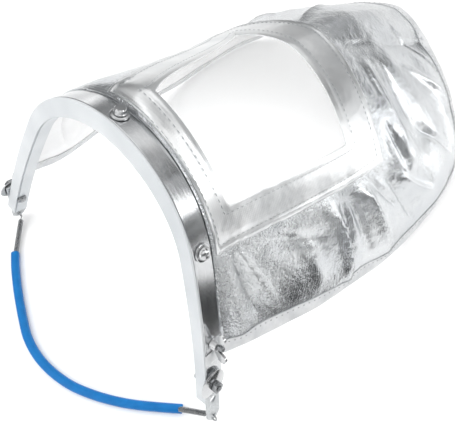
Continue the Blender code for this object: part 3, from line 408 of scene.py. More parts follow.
def powder_coat():
    """Pale grey powder-coated sheet: satin, with the faint orange peel of baked powder."""
    material = fresh_material("powder_coated_sheet", "#CDD0D3", 0.42, 0.0)
    peel = speckle(material, 1.6 * MM, 2.0)
    cloudy = speckle(material, 40 * MM, 2.0)
    tinted(material, cloudy, "#C4C8CB", "#D6D9DB")
    roughened(material, peel, 0.36, 0.5)
    bumped(material, (peel, 0.05 * MM))
    return material


def brushed_aluminium():
    """Aluminium strip brushed along its length: long fine scratches that pull its reflections out."""
    material = fresh_material("brushed_aluminium_strip", "#C6C8CA", 0.26, 1.0)
    scratches = speckle(material, 0.5 * MM, 3.0, 0.6, (0.012, 1, 1), uv_coordinates(material))
    handling = speckle(material, 18 * MM, 4.0)
    tinted(material, handling, "#C2C4C6", "#E0E1E2")
    roughened(material, scratches, 0.12, 0.26)
    bumped(material, (scratches, 0.03 * MM))
    return material


def weave(material, pitch):
    """Plain weave: two crossed waves, drawn at the given thread spacing in metres."""
    return product(material, *[waves(material, direction, pitch, 0.6, 1.5) for direction in ("X", "Y")])


def aluminized_cloth():
    """Woven cloth with aluminium foil bonded on: a dull mirror that crackles into small facets."""
    material = fresh_material("aluminized_cloth_outside", "#D6D8DA", 0.26, 1.0)
    crackle = speckle(material, 2.6 * MM, 3.0, 0.6)
    cockle = speckle(material, 9 * MM, 2.0)
    cloudy = speckle(material, 55 * MM, 3.0)
    # Threads every 0.6 mm are too fine to show here, so the weave is drawn 1.5 mm apart
    threads = weave(material, 1.5 * MM)
    tinted(material, cloudy, "#C9CCCF", "#E3E5E6")
    rough = add_node(
        material, "ShaderNodeMath", {"operation": "MULTIPLY_ADD", 1: 0.12},
        {0: crackle, 2: spread(material, cloudy, 0.14, 0.24)},
    )
    join(material, rough.outputs["Value"], "Roughness")
    creased = rubbed(material, crackle)
    bumped(material, (threads, 0.06 * MM), (cockle, 0.8 * MM), (creased, 1.3 * MM))
    return material


def base_cloth():
    """White cotton back of the foil cloth: soft, matt, with its weave just showing."""
    material = fresh_material("white_cloth_inside", "#F1F1EF", 0.92, 0.0, **{"Sheen Weight": 0.15})
    cloudy = speckle(material, 30 * MM, 3.0)
    threads = weave(material, 1.4 * MM)
    tinted(material, cloudy, "#F0F0F0", "#FBFBFB")
    bumped(material, (threads, 0.1 * MM), (cloudy, 0.8 * MM))
    return material


def border_cloth():
    """Doubled aluminized cloth round the window: flatter and brighter, puckered beside its seams."""
    material = fresh_material("aluminized_cloth_doubled", "#ECEDEE", 0.3, 1.0)
    crackle = speckle(material, 2.2 * MM, 3.0, 0.6)
    cloudy = speckle(material, 35 * MM, 3.0)
    threads = weave(material, 1.5 * MM)
    tinted(material, cloudy, "#E0E2E3", "#F4F5F5")
    roughened(material, crackle, 0.28, 0.34)
    creased = rubbed(material, crackle)
    bumped(material, (threads, 0.04 * MM), (cloudy, 1.5 * MM), (creased, 0.1 * MM))
    return material


def clear_sheet():
    """Clear acetate sheet: see-through, with slow ripples that bend its reflections."""
    material = fresh_material("clear_acetate_sheet", "#FAFBFB", 0.06, 0.0, Alpha=0.12)
    slow = speckle(material, 60 * MM, 1.0)
    haze = speckle(material, 14 * MM, 3.0)
    roughened(material, haze, 0.04, 0.12)
    bumped(material, (slow, 1.0 * MM))
    return material


def binding_tape():
    """White woven tape folded over the hem: matt, with fine ribs across it."""
    material = fresh_material("white_woven_tape", "#D2D4D5", 0.8, 0.0, **{"Sheen Weight": 0.1})
    # Ribs of the tape are 0.7 mm apart, drawn at 1.3 mm
    ribs = waves(material, "X", 1.3 * MM, 0.8)
    cloudy = speckle(material, 12 * MM, 3.0)
    tinted(material, cloudy, "#C4C6C8", "#DDDEDF")
    bumped(material, (ribs, 0.08 * MM), (cloudy, 0.5 * MM))
    return material


def plated_steel(name, colour, roughness):
    """Zinc-plated steel from the press: bright, with small cloudy patches."""
    material = fresh_material(name, colour, roughness, 1.0)
    patches = speckle(material, 3.5 * MM, 4.0)
    fine = speckle(material, 0.7 * MM, 2.0)
    roughened(material, patches, roughness * 0.75, roughness * 1.5)
    bumped(material, (fine, 0.02 * MM))
    return material


def thread(name, colour):
    """Twisted sewing thread: matt, with the pitch of its twist."""
    material = fresh_material(name, colour, 0.75, 0.0)
    twist = speckle(material, 0.5 * MM, 1.0)
    roughened(material, twist, 0.6, 0.85)
    bumped(material, (twist, 0.06 * MM))
    return material


def blue_vinyl():
    """Soft blue vinyl tube, extruded: even colour, a broad soft highlight, faint handling marks."""
    material = fresh_material("blue_vinyl_tube", "#0C6CB0", 0.38, 0.0, **{"Specular IOR Level": 0.25})
    marks = speckle(material, 8 * MM, 4.0)
    fine = speckle(material, 0.8 * MM, 2.0)
    tinted(material, marks, "#0A68AC", "#1074BA")
    roughened(material, marks, 0.3, 0.46)
    bumped(material, (fine, 0.02 * MM))
    return material


MADE = []


def linked(name, data):
    """A new object for the data, put into the scene."""
    piece = bpy.data.objects.new(name, data)
    bpy.context.collection.objects.link(piece)
    return piece


def add_mesh(name, vertices, faces, material, smooth_angle=35):
    """A mesh piece in the measuring frame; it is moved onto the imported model's place at the end."""
    mesh = bpy.data.meshes.new(name)
    mesh.from_pydata([tuple(v) for v in vertices], [], faces)
    mesh.validate()
    mesh.shade_smooth()
    mesh.set_sharp_from_angle(angle=math.radians(smooth_angle))
    mesh.materials.append(material)
    piece = linked(name, mesh)
    MADE.append(piece)
    return piece


def point_faces_out(piece):
    shape = bmesh.new()
    shape.from_mesh(piece.data)
    bmesh.ops.recalc_face_normals(shape, faces=shape.faces)
    if shape.calc_volume(signed=True) < 0:
        bmesh.ops.reverse_faces(shape, faces=shape.faces)
    shape.to_mesh(piece.data)
    shape.free()
    return piece


def applied(piece, smooth_angle=35):
    """Turns the piece with its modifiers into a plain mesh."""
    graph = bpy.context.evaluated_depsgraph_get()
    graph.update()
    mesh = bpy.data.meshes.new_from_object(piece.evaluated_get(graph), depsgraph=graph)
    piece.modifiers.clear()
    piece.data = mesh
    mesh.shade_smooth()
    mesh.set_sharp_from_angle(angle=math.radians(smooth_angle))
    return piece


def finished(piece):
    """Applies the piece's modifiers and takes away the helper solids that are named after it."""
    applied(piece)
    for helper in [other for other in MADE if other.name.startswith(f"{piece.name}_")]:
        MADE.remove(helper)
        bpy.data.objects.remove(helper, do_unlink=True)
    return piece


def rounded_edges(piece, width, segments=2, angle=40):
    modifier = piece.modifiers.new("edge", "BEVEL")
    modifier.width = width
    modifier.segments = segments
    modifier.limit_method = "ANGLE"
    modifier.angle_limit = math.radians(angle)
    return piece


def run_map(piece, values):
    """UV map in metres from a list with one (u, v) for each vertex."""
    layer = piece.data.uv_layers.new(name="run")
    for loop in piece.data.loops:
        layer.data[loop.index].uv = values[loop.vertex_index]


# The arch outline: a crown arc that runs into slightly bowed legs


def arch_measures():
    """Crown radius and leg length that give the named half width and rise."""
    foot_turn = math.pi / 2 - LEG_SPLAY
    leg_heading = (CROWN_TURN + foot_turn) / 2
    grid = np.array(
        [[math.sin(CROWN_TURN), math.cos(leg_heading)], [1 - math.cos(CROWN_TURN), math.sin(leg_heading)]]
    )
    crown_radius, leg_length = np.linalg.solve(grid, (ARCH_HALF_WIDTH, ARCH_RISE))
    return crown_radius, leg_length, foot_turn


CROWN_RADIUS, LEG_LENGTH, FOOT_TURN = arch_measures()
CROWN_HALF_LENGTH = CROWN_RADIUS * CROWN_TURN
ARCH_HALF_LENGTH = CROWN_HALF_LENGTH + LEG_LENGTH
ARCH_TOP = ARCH_FOOT_HEIGHT + ARCH_RISE


def arch_point(from_crown):
    """Point (x, height) and outward normal of the arch at a length from its crown, plus to the right."""
    side = 1.0 if from_crown >= 0 else -1.0
    length = abs(from_crown)
    down_leg = max(length - CROWN_HALF_LENGTH, 0.0)
    on_crown = min(length / CROWN_RADIUS, CROWN_TURN)
    turn = on_crown + (FOOT_TURN - CROWN_TURN) / LEG_LENGTH * down_leg
    heading = (CROWN_TURN + turn) / 2
    x = CROWN_RADIUS * math.sin(on_crown) + down_leg * math.cos(heading)
    height = ARCH_TOP - CROWN_RADIUS * (1 - math.cos(on_crown)) - down_leg * math.sin(heading)
    return side * x, height, side * math.sin(turn), math.cos(turn)


def stand(x, height, behind):
    """World point from the leaning arch plane: across, up the plane, and behind it into the hood."""
    y = behind * math.cos(ARCH_LEAN) + height * math.sin(ARCH_LEAN)
    z = height * math.cos(ARCH_LEAN) - behind * math.sin(ARCH_LEAN)
    return Vector((x, y, z))


def arch_place(from_crown, outward, behind):
    x, height, normal_x, normal_up = arch_point(from_crown)
    return stand(x + outward * normal_x, height + outward * normal_up, behind)


def arch_stations(foot_trim=0.0):
    """Lengths from the crown, right foot to left foot, closer together on the crown."""
    end = ARCH_HALF_LENGTH - foot_trim
    leg = np.linspace(end, CROWN_HALF_LENGTH, LEG_STEPS + 1)[:-1]
    crown = np.linspace(CROWN_HALF_LENGTH, -CROWN_HALF_LENGTH, CROWN_STEPS + 1)
    return np.concatenate([leg, crown, -leg[::-1]])


def sweep_profile(name, rings, material, smooth_angle=35):
    """Closed solid through equal rings of points, capped at both ends."""
    count = len(rings[0])
    last = (len(rings) - 1) * count
    faces = []
    for base in range(0, last, count):
        for corner in range(count):
            after = (corner + 1) % count
            faces.append((base + corner, base + after, base + count + after, base + count + corner))
    faces += [tuple(range(count)), tuple(last + corner for corner in reversed(range(count)))]
    vertices = [point for ring in rings for point in ring]
    return point_faces_out(add_mesh(name, vertices, faces, material, smooth_angle))


def flange_depth(from_crown):
    upward = max(arch_point(from_crown)[3], 0.0) ** 1.5
    return FLANGE_DEPTH_AT_LEG + (FLANGE_DEPTH_AT_CROWN - FLANGE_DEPTH_AT_LEG) * upward


def softened(section, radius):
    """Closed section with each corner cut by two points, so that the sheet's edges are rounded."""
    count = len(section)
    points = []
    for index in range(count):
        here = np.array(section[index], float)
        for other in (section[index - 1], section[(index + 1) % count]):
            way = np.array(other, float) - here
            length = np.linalg.norm(way)
            points.append(here + way * min(radius / length, 0.45))
    return points


def swept_sheet(name, stations, section_at, material, radius=0.25 * MM):
    """Strip along the arch with rounded edges, and a UV run along it and across it."""
    rings, runs = [], []
    for place in stations:
        section = softened(section_at(place), radius)
        rings.append([arch_place(place, outward, behind) for outward, behind in section])
        girth = np.cumsum([0.0] + [math.dist(a, b) for a, b in zip(section[:-1], section[1:])])
        runs += [(place, g) for g in girth]
    piece = sweep_profile(name, rings, material, 30)
    run_map(piece, runs)
    return piece


def form_rail(material):
    def section(place):
        depth = flange_depth(place)
        return (
            (0.0, 0.0), (-depth, 0.0), (-depth, GROOVE_FRONT), (-depth + GROOVE_DEPTH, GROOVE_FRONT),
            (-depth + GROOVE_DEPTH, GROOVE_BACK), (-depth, GROOVE_BACK), (-depth, RAIL_WIDTH),
            (-depth + WEB_THICKNESS, RAIL_WIDTH), (-depth + WEB_THICKNESS, FLANGE_THICKNESS),
            (0.0, FLANGE_THICKNESS),
        )

    return swept_sheet("formed_rail", arch_stations(), section, material)


BAND_FRONT = FLANGE_THICKNESS + GAP
BAND_BACK = BAND_FRONT + BAND_WIDTH
BAND_MIDDLE = (BAND_FRONT + BAND_BACK) / 2


def form_band(material):
    section = (
        (0.0, BAND_FRONT), (-BAND_THICKNESS, BAND_FRONT), (-BAND_THICKNESS, BAND_BACK), (0.0, BAND_BACK),
    )
    return swept_sheet("brushed_band", arch_stations(BAND_END_ABOVE_FOOT), lambda place: section, material)


# The draped cloth


def smooth_through(stations, values, wanted):
    """Monotone cubic through a column of the drape table."""
    stations = np.asarray(stations, float)
    values = np.asarray(values, float)
    run = np.diff(stations)
    slope = np.diff(values) / run
    tangent = np.concatenate([[slope[0]], np.zeros(len(slope) - 1), [slope[-1]]])
    for index in range(1, len(slope)):
        before, after = slope[index - 1], slope[index]
        if before * after > 0:
            tangent[index] = 2 * before * after / (before + after)
    span = int(np.clip(np.searchsorted(stations, wanted, side="right") - 1, 0, len(run) - 1))
    t = (wanted - stations[span]) / run[span]
    start, end = values[span], values[span + 1]
    return (
        (2 * t**3 - 3 * t**2 + 1) * start
        + (t**3 - 2 * t**2 + t) * run[span] * tangent[span]
        + (3 * t**2 - 2 * t**3) * end
        + (t**3 - t**2) * run[span] * tangent[span + 1]
    )


def drape_row(along):
    stations = [row[0] for row in DRAPE_ROWS]
    values = {}
    for column, name in enumerate(DRAPE_COLUMNS[1:], start=1):
        values[name] = smooth_through(stations, [row[column] for row in DRAPE_ROWS], along)
    return values


def evened(x, z, wanted):
    """Points of an outline at even shares of its length, from -1 at the left foot to 1 at the right."""
    length = np.concatenate([[0.0], np.cumsum(np.hypot(np.diff(x), np.diff(z)))])
    share = 1 - 2 * length / length[-1]
    return np.interp(wanted, share[::-1], x[::-1]), np.interp(wanted, share[::-1], z[::-1])


CLOTH_TOP_LENGTH = ARCH_HALF_LENGTH - CLOTH_START_ALONG_LEG
HELD_FOOT_Y = arch_place(CLOTH_TOP_LENGTH, -BAND_THICKNESS - GAP, BAND_BACK + GAP)[1]
HELD_CROWN_Y = arch_place(0.0, -BAND_THICKNESS - GAP, BAND_BACK + GAP)[1]
OUTLINE_TURN = np.linspace(0.0, math.pi, 121)
ARCH_OUTLINE = np.array([arch_point(p)[:2] for p in np.linspace(CLOTH_TOP_LENGTH, -CLOTH_TOP_LENGTH, 121)])


def section_outline(roundness, arch_share, across):
    """Outline of one section in unit width and unit height."""
    cosine, sine = np.cos(OUTLINE_TURN), np.sin(OUTLINE_TURN)
    round_x = np.sign(cosine) * np.abs(cosine) ** (2 / roundness)
    round_z = np.abs(sine) ** (2 / roundness)
    free_x, free_z = evened(round_x, round_z, across)
    held_x, held_z = evened(ARCH_OUTLINE[:, 0], ARCH_OUTLINE[:, 1], across)
    foot_x, foot_z = ARCH_OUTLINE[0]
    held_x = held_x / foot_x
    held_z = (held_z - foot_z) / (ARCH_OUTLINE[:, 1].max() - foot_z)
    x = arch_share * held_x + (1 - arch_share) * free_x
    z = arch_share * held_z + (1 - arch_share) * free_z
    return x, z


def plain_drape(along, across):
    row = drape_row(along)
    x, z = section_outline(row["roundness"], row["arch"], across)
    height = HOOD_HEIGHT * (row["foot_z"] + (row["crown_z"] - row["foot_z"]) * z) + FLOOR_CLEARANCE
    run = HOOD_REACH - HELD_CROWN_Y
    foot_y = HELD_FOOT_Y + run * row["foot_run"]
    crown_y = HELD_CROWN_Y + run * row["crown_run"]
    wide = HOOD_HALF_WIDTH * row["half_width"] * x
    return np.stack([wide, foot_y + (crown_y - foot_y) * z, height], axis=-1)


def ridge_lift(along, across, rows, sharp):
    """How far a table of folds lifts the cloth at each place; sharp folds are as narrow as their width."""
    lift = np.zeros_like(across)
    for row in rows:
        fold = dict(zip(FOLD_COLUMNS, row))
        run_along = fold["end_along"] - fold["start_along"]
        run_across = fold["end_across"] - fold["start_across"]
        share = (along - fold["start_along"]) * run_along + (across - fold["start_across"]) * run_across
        share = np.clip(share / (run_along**2 + run_across**2), 0, 1)
        away_along = along - fold["start_along"] - share * run_along
        away_across = across - fold["start_across"] - share * run_across
        away = np.hypot(away_along, away_across * 0.6) / (fold["width"] * (1.2 if sharp else 2.2))
        if sharp:
            swell = np.sin(np.pi * np.clip(share * 0.86 + 0.1, 0, 1)) ** 0.6
            lift += fold["height"] * HOOD_REACH * swell / (1 + away**2) ** 2
        else:
            lift += fold["height"] * HOOD_REACH * (0.35 + 0.65 * share) * np.exp(-(away**2))
    return lift


def outside_border(along, across):
    """0 under the window border, 1 on the free cloth."""
    outside_along = np.clip((along - BORDER_ALONG[1]) / 0.05, 0, 1)
    outside_near = np.clip((across - BORDER_ACROSS[1]) / 0.08, 0, 1)
    outside_far = np.clip((BORDER_ACROSS[0] + far_edge_shift(along) - across) / 0.08, 0, 1)
    return np.maximum(outside_along, np.maximum(outside_near, outside_far))


def fold_height(along, across):
    """How far the folds and finer creases lift the cloth at each place."""
    lift = ridge_lift(along, across, FOLD_ROWS, False) + ridge_lift(along, across, CREASE_ROWS, True)
    return lift * outside_border(along, across)


def far_edge_shift(along):
    """The window's far edge runs askew, nearer to the crown at the brow than at the chin."""
    share = np.clip((along - WINDOW_ALONG[0]) / (WINDOW_ALONG[1] - WINDOW_ALONG[0]), 0, 1)
    return FAR_EDGE_SHIFT_AT_BROW + (FAR_EDGE_SHIFT_AT_CHIN - FAR_EDGE_SHIFT_AT_BROW) * share


def columns_at(along, columns):
    """Shares across the cloth of the shared grid lines, which follow the window's far edge."""
    shift = far_edge_shift(along)
    fixed = (-1.0, BORDER_ACROSS[0], WINDOW_ACROSS[0], WINDOW_ACROSS[1], 1.0)
    moved = (-1.0, BORDER_ACROSS[0] + shift, WINDOW_ACROSS[0] + shift, WINDOW_ACROSS[1], 1.0)
    return np.interp(columns, fixed, moved)


def hem_reach(along):
    """Share of the half section that the cloth reaches at this row; it rounds off at the chin corners."""
    past = np.clip((along - HEM_CORNER_START) / (1 - HEM_CORNER_START), 0, 1)
    return 1 - HEM_CORNER_CUT * (1 - np.sqrt(1 - past**2))


def normals_of(face, along, across, step):
    """Outward normals of a face that is a function of the shares along and across."""
    ahead = face(min(along + step, 1.0), across) - face(max(along - step, 0.0), across)
    side = face(along, np.minimum(across + step, 1.0)) - face(along, np.maximum(across - step, -1.0))
    normals = np.cross(side, ahead)
    return normals / np.linalg.norm(normals, axis=-1, keepdims=True)


def cloth_points(alongs, across_shares):
    """Grid of points and outward normals on the outer face of the cloth."""
    points, normals = [], []
    for along in alongs:
        across = columns_at(along, across_shares) * hem_reach(along)
        points.append(drape_face(along, across))
        normals.append(normals_of(drape_face, along, across, SLOPE_STEP))
    return np.array(points), np.array(normals)


def drape_face(along, across):
    flat_side = np.clip((1.0 - np.abs(across)) / HEM_FLAT_ACROSS, 0, 1)
    flat_chin = np.clip((1.0 - along) / HEM_FLAT_ALONG, 0, 1)
    lift = fold_height(along, across) * flat_side * flat_chin
    out = normals_of(plain_drape, along, across, FLAT_SLOPE_STEP)
    return plain_drape(along, across) + out * lift[:, None]


def noise_at(point, length, seed):
    return noise.fractal(Vector(point) / length + Vector((seed, 0, 0)), 1.0, 2.0, 3)


def add_ripples(points, normals, free):
    """Small uneven cockles all over, and puckers where the cloth is gathered by a seam."""
    rippled = points.copy()
    for row in range(points.shape[0]):
        for column in range(points.shape[1]):
            here = points[row, column]
            gathered, loose = free[row, column]
            lift = RIPPLE_HEIGHT * loose * noise_at(here, RIPPLE_LENGTH, 3.0)
            lift += PUCKER_HEIGHT * gathered * noise_at(here, PUCKER_LENGTH, 11.0)
            rippled[row, column] = here + normals[row, column] * lift
    return rippled


def formed_wall(name, outer, inner, cells, materials, runs, grain, smooth_angle=60):
    """Closed cloth wall between two grids; its inner face takes the second material."""
    rows, columns = outer.shape[:2]
    vertices = np.concatenate([outer.reshape(-1, 3), inner.reshape(-1, 3)])
    run_values = np.concatenate([runs.reshape(-1, 2), runs.reshape(-1, 2)])
    grain_values = np.concatenate([grain.reshape(-1), grain.reshape(-1)])
    under = rows * columns
    faces, slots = [], []

    def kept(row, column):
        return 0 <= row < rows - 1 and 0 <= column < columns - 1 and cells[row, column]

    for row in range(rows - 1):
        for column in range(columns - 1):
            if not cells[row, column]:
                continue
            a = row * columns + column
            b, c, d = a + 1, a + columns + 1, a + columns
            faces.append((a, b, c, d))
            faces.append((under + d, under + c, under + b, under + a))
            slots += [0, 1]
            sides = ((-1, 0, b, a), (1, 0, d, c), (0, -1, a, d), (0, 1, c, b))
            for step_row, step_column, start, end in sides:
                if not kept(row + step_row, column + step_column):
                    faces.append((start, end, under + end, under + start))
                    slots.append(0)
    used = sorted({corner for face in faces for corner in face})
    renumber = {old: new for new, old in enumerate(used)}
    faces = [tuple(renumber[corner] for corner in face) for face in faces]
    piece = add_mesh(name, vertices[used], faces, materials[0], smooth_angle)
    for material in materials[1:]:
        piece.data.materials.append(material)
    for polygon, slot in zip(piece.data.polygons, slots):
        polygon.material_index = min(slot, len(materials) - 1)
    run_map(piece, [tuple(run_values[old]) for old in used])
    layer = piece.data.attributes.new("grain", "FLOAT", "POINT")
    layer.data.foreach_set("value", [float(grain_values[old]) for old in used])
    return point_faces_out(piece)


def grid_lines(breaks, steps):
    """Grid lines that fall on each break, with a count of steps between breaks."""
    parts = [np.linspace(breaks[i], breaks[i + 1], steps[i] + 1)[:-1] for i in range(len(steps))]
    return np.concatenate(parts + [[breaks[-1]]])


def widened(span, by):
    return span[0] - by, span[1] + by


def nested(*spans):
    """Both ends of spans that lie one inside another, in order."""
    return [span[0] for span in spans] + [span[1] for span in reversed(spans)]


SHEET_ALONG = widened(WINDOW_ALONG, WINDOW_LAP[0])
SHEET_ACROSS = widened(WINDOW_ACROSS, WINDOW_LAP[1])
OPENING_ALONG = widened(SHEET_ALONG, OPENING_SLACK[0])
OPENING_ACROSS = widened(SHEET_ACROSS, OPENING_SLACK[1])
ALONG_NESTED = nested(BORDER_ALONG, OPENING_ALONG, SHEET_ALONG, WINDOW_ALONG)
ACROSS_NESTED = nested(BORDER_ACROSS, OPENING_ACROSS, SHEET_ACROSS, WINDOW_ACROSS)
ALONG_BREAKS = (0.0, *ALONG_NESTED, HEM_CORNER_START, BINDING_ALONG, 1.0)
ACROSS_BREAKS = (-1.0, -BINDING_ACROSS, *ACROSS_NESTED, BINDING_ACROSS, 1.0)
ALONG_STEPS = (4, 16, 1, 2, 24, 2, 1, 14, 56, 18, 4)
ACROSS_STEPS = (3, 52, 12, 1, 2, 48, 2, 1, 12, 44, 3)
ALONG_LINES = grid_lines(ALONG_BREAKS, ALONG_STEPS)
ACROSS_LINES = grid_lines(ACROSS_BREAKS, ACROSS_STEPS)


def part_of(lines, span):
    """Slice of the grid lines from one break to another."""
    first = int(np.argmin(np.abs(lines - span[0])))
    last = int(np.argmin(np.abs(lines - span[1])))
    return slice(first, last + 1)


def opened(along_range, across_range, hole_along=None, hole_across=None):
    """Marks the cells of a part of the grid, with a rectangle cut out."""
    inside = []
    for lines, hole in ((ALONG_LINES[along_range], hole_along), (ACROSS_LINES[across_range], hole_across)):
        middle = (lines[:-1] + lines[1:]) / 2
        inside.append((middle > hole[0]) & (middle < hole[1]) if hole else np.zeros(len(middle), bool))
    return ~(inside[0][:, None] & inside[1][None, :])


def tucked_edge(outward, behind):
    """The cloth's front edge, held under the band."""
    columns = columns_at(0.0, ACROSS_LINES)
    return np.array([arch_place(share * CLOTH_TOP_LENGTH, outward, behind) for share in columns])


def cloth_grid():
    """Outer face and normals on all the shared grid lines, with the front line held behind the band."""
    points, normals = cloth_points(ALONG_LINES, ACROSS_LINES)
    points[0] = tucked_edge(-BAND_THICKNESS - GAP, BAND_BACK + GAP)
    columns = columns_at(0.0, ACROSS_LINES)
    outward = [arch_point(share * CLOTH_TOP_LENGTH)[2:] for share in columns]
    normals[0] = np.array([stand(x, up, 0.0) for x, up in outward])
    return points, normals


def seam_distance():
    """For each grid node, its distance in metres from the border's outer seam and the window's edge."""
    away_outer = np.full((len(ALONG_LINES), len(ACROSS_LINES)), 1.0)
    away_inner = away_outer.copy()
    for row, along in enumerate(ALONG_LINES):
        across = columns_at(along, ACROSS_LINES)
        shift = far_edge_shift(along)
        for store, spans in (
            (away_outer, (BORDER_ALONG, (BORDER_ACROSS[0] + shift, BORDER_ACROSS[1]))),
            (away_inner, (WINDOW_ALONG, (WINDOW_ACROSS[0] + shift, WINDOW_ACROSS[1]))),
        ):
            along_span, across_span = spans
            gap_along = max(along_span[0] - along, along - along_span[1]) * HOOD_REACH
            gap_across = np.maximum(across_span[0] - across, across - across_span[1]) * HOOD_HALF_GIRTH
            outside = np.hypot(max(gap_along, 0.0), np.maximum(gap_across, 0.0))
            inside = -np.maximum(gap_along, gap_across)
            store[row] = np.where(inside > 0, inside, outside)
    return away_outer, away_inner


def near(distance, width):
    return np.exp(-((distance / width) ** 2))


def fine_cloth():
    """Outer face, normals, UV run and grain of the whole cloth on the fine grid."""
    points, normals = cloth_grid()
    away_outer, away_inner = seam_distance()
    gathered = near(away_outer, SEAM_GATHER_WIDTH)
    loose = np.zeros_like(gathered)
    for row, along in enumerate(ALONG_LINES):
        loose[row] = outside_border(along, columns_at(along, ACROSS_LINES))
    fade = np.clip(ALONG_LINES / 0.04, 0, 1)[:, None]
    free = np.stack([gathered * fade, loose * fade], axis=-1)
    points = add_ripples(points, normals, free)
    run_u = np.zeros(points.shape[:2])
    run_v = np.zeros(points.shape[:2])
    run_u[:, 1:] = np.cumsum(np.linalg.norm(np.diff(points, axis=1), axis=2), axis=1)
    run_u -= run_u[:, run_u.shape[1] // 2][:, None]
    run_v[1:] = np.cumsum(np.linalg.norm(np.diff(points, axis=0), axis=2), axis=0)
    runs = np.stack([run_u, run_v], axis=-1)
    along = ALONG_LINES[:, None]
    across = np.stack([columns_at(a, ACROSS_LINES) for a in ALONG_LINES])
    middle, start, width, ramp = BROW_STREAK
    brow_streak = near(along - middle, width) * np.clip((across - start) / ramp, 0, 1)
    middle, centre, width, wide = CHEEK_PATCH
    cheek_patch = near(along - middle, width) * near(across - centre, wide)
    plain, at_seam, at_brow, at_cheek = GRAIN_SHARES
    grain = plain + at_seam * gathered + at_brow * brow_streak + at_cheek * cheek_patch
    return points, normals, runs, np.clip(grain, 0, GRAIN_LIMIT), (away_outer, away_inner)


def form_cloth(fine, outside, inside):
    points, normals, runs, grain, away = fine
    under_band = tucked_edge(-BAND_THICKNESS - GAP, BAND_BACK - TUCK_DEPTH)
    under_cloth = tucked_edge(-BAND_THICKNESS - GAP - CLOTH_THICKNESS, BAND_BACK - TUCK_DEPTH)
    outer = np.concatenate([under_band[None], points])
    inner = np.concatenate([under_cloth[None], points - normals * CLOTH_THICKNESS])
    everything = slice(0, len(ALONG_LINES)), slice(0, len(ACROSS_LINES))
    cells = opened(*everything, OPENING_ALONG, OPENING_ACROSS)
    cells = np.concatenate([np.ones((1, cells.shape[1]), bool), cells])
    first = runs[:1].copy()
    first[..., 1] -= TUCK_DEPTH
    runs = np.concatenate([first, runs])
    grain = np.concatenate([grain[:1], grain])
    return formed_wall("draped_hood", outer, inner, cells, (outside, inside), runs, grain)


def form_border(fine, outside, inside):
    """Doubled cloth with a raised outer seam and a rolled inner edge."""
    points, normals, runs, grain, (away_outer, away_inner) = fine
    rows, columns = part_of(ALONG_LINES, BORDER_ALONG), part_of(ACROSS_LINES, BORDER_ACROSS)
    face, out = points[rows, columns], normals[rows, columns]
    cells = opened(rows, columns, WINDOW_ALONG, WINDOW_ACROSS)
    from_edge = away_outer[rows, columns]
    from_window = away_inner[rows, columns]
    ridge = SEAM_RIDGE_HEIGHT * near(from_edge - 3.0 * MM, SEAM_RIDGE_WIDTH)
    ridge += 0.7 * SEAM_RIDGE_HEIGHT * near(from_window - 3.5 * MM, SEAM_RIDGE_WIDTH)
    ridge -= 0.35 * MM * near(from_edge - 6.5 * MM, 1.2 * MM)
    thickness = BORDER_THICKNESS * np.clip(0.55 + from_edge / (2 * MM), 0, 1)
    low = face + out * GAP
    high = face + out * (GAP + thickness + ridge)[..., None]
    puckers = 0.12 + 0.7 * near(from_edge, 6 * MM) + 0.3 * near(from_window, 4 * MM)
    run = runs[rows, columns]
    return formed_wall("window_border_sewn", high, low, cells, (outside, inside), run, puckers)


def form_window(fine, material):
    points, normals, runs, grain, away = fine
    rows, columns = part_of(ALONG_LINES, SHEET_ALONG), part_of(ACROSS_LINES, SHEET_ACROSS)
    face, out = points[rows, columns], normals[rows, columns]
    cells = opened(rows, columns)
    back = face - out * WINDOW_THICKNESS
    values = runs[rows, columns], grain[rows, columns]
    return formed_wall("clear_window", face, back, cells, (material,), *values)


def unit(vector):
    return vector / np.linalg.norm(vector)


def edge_spots():
    """Grid spots round the free edge with the spot a tape's width inside each: right side, chin, left."""
    last, edge = len(ALONG_LINES) - 1, len(ACROSS_LINES) - 1
    deep, wide = ALONG_STEPS[-1], ACROSS_STEPS[-1]
    spots = []
    for row in range(1, last):
        spots.append(((row, edge), (min(row, last - deep), edge - wide)))
    for column in range(edge, -1, -1):
        spots.append(((last, column), (last - deep, int(np.clip(column, wide, edge - wide)))))
    for row in range(last - 1, 0, -1):
        spots.append(((row, 0), (min(row, last - deep), wide)))
    return spots


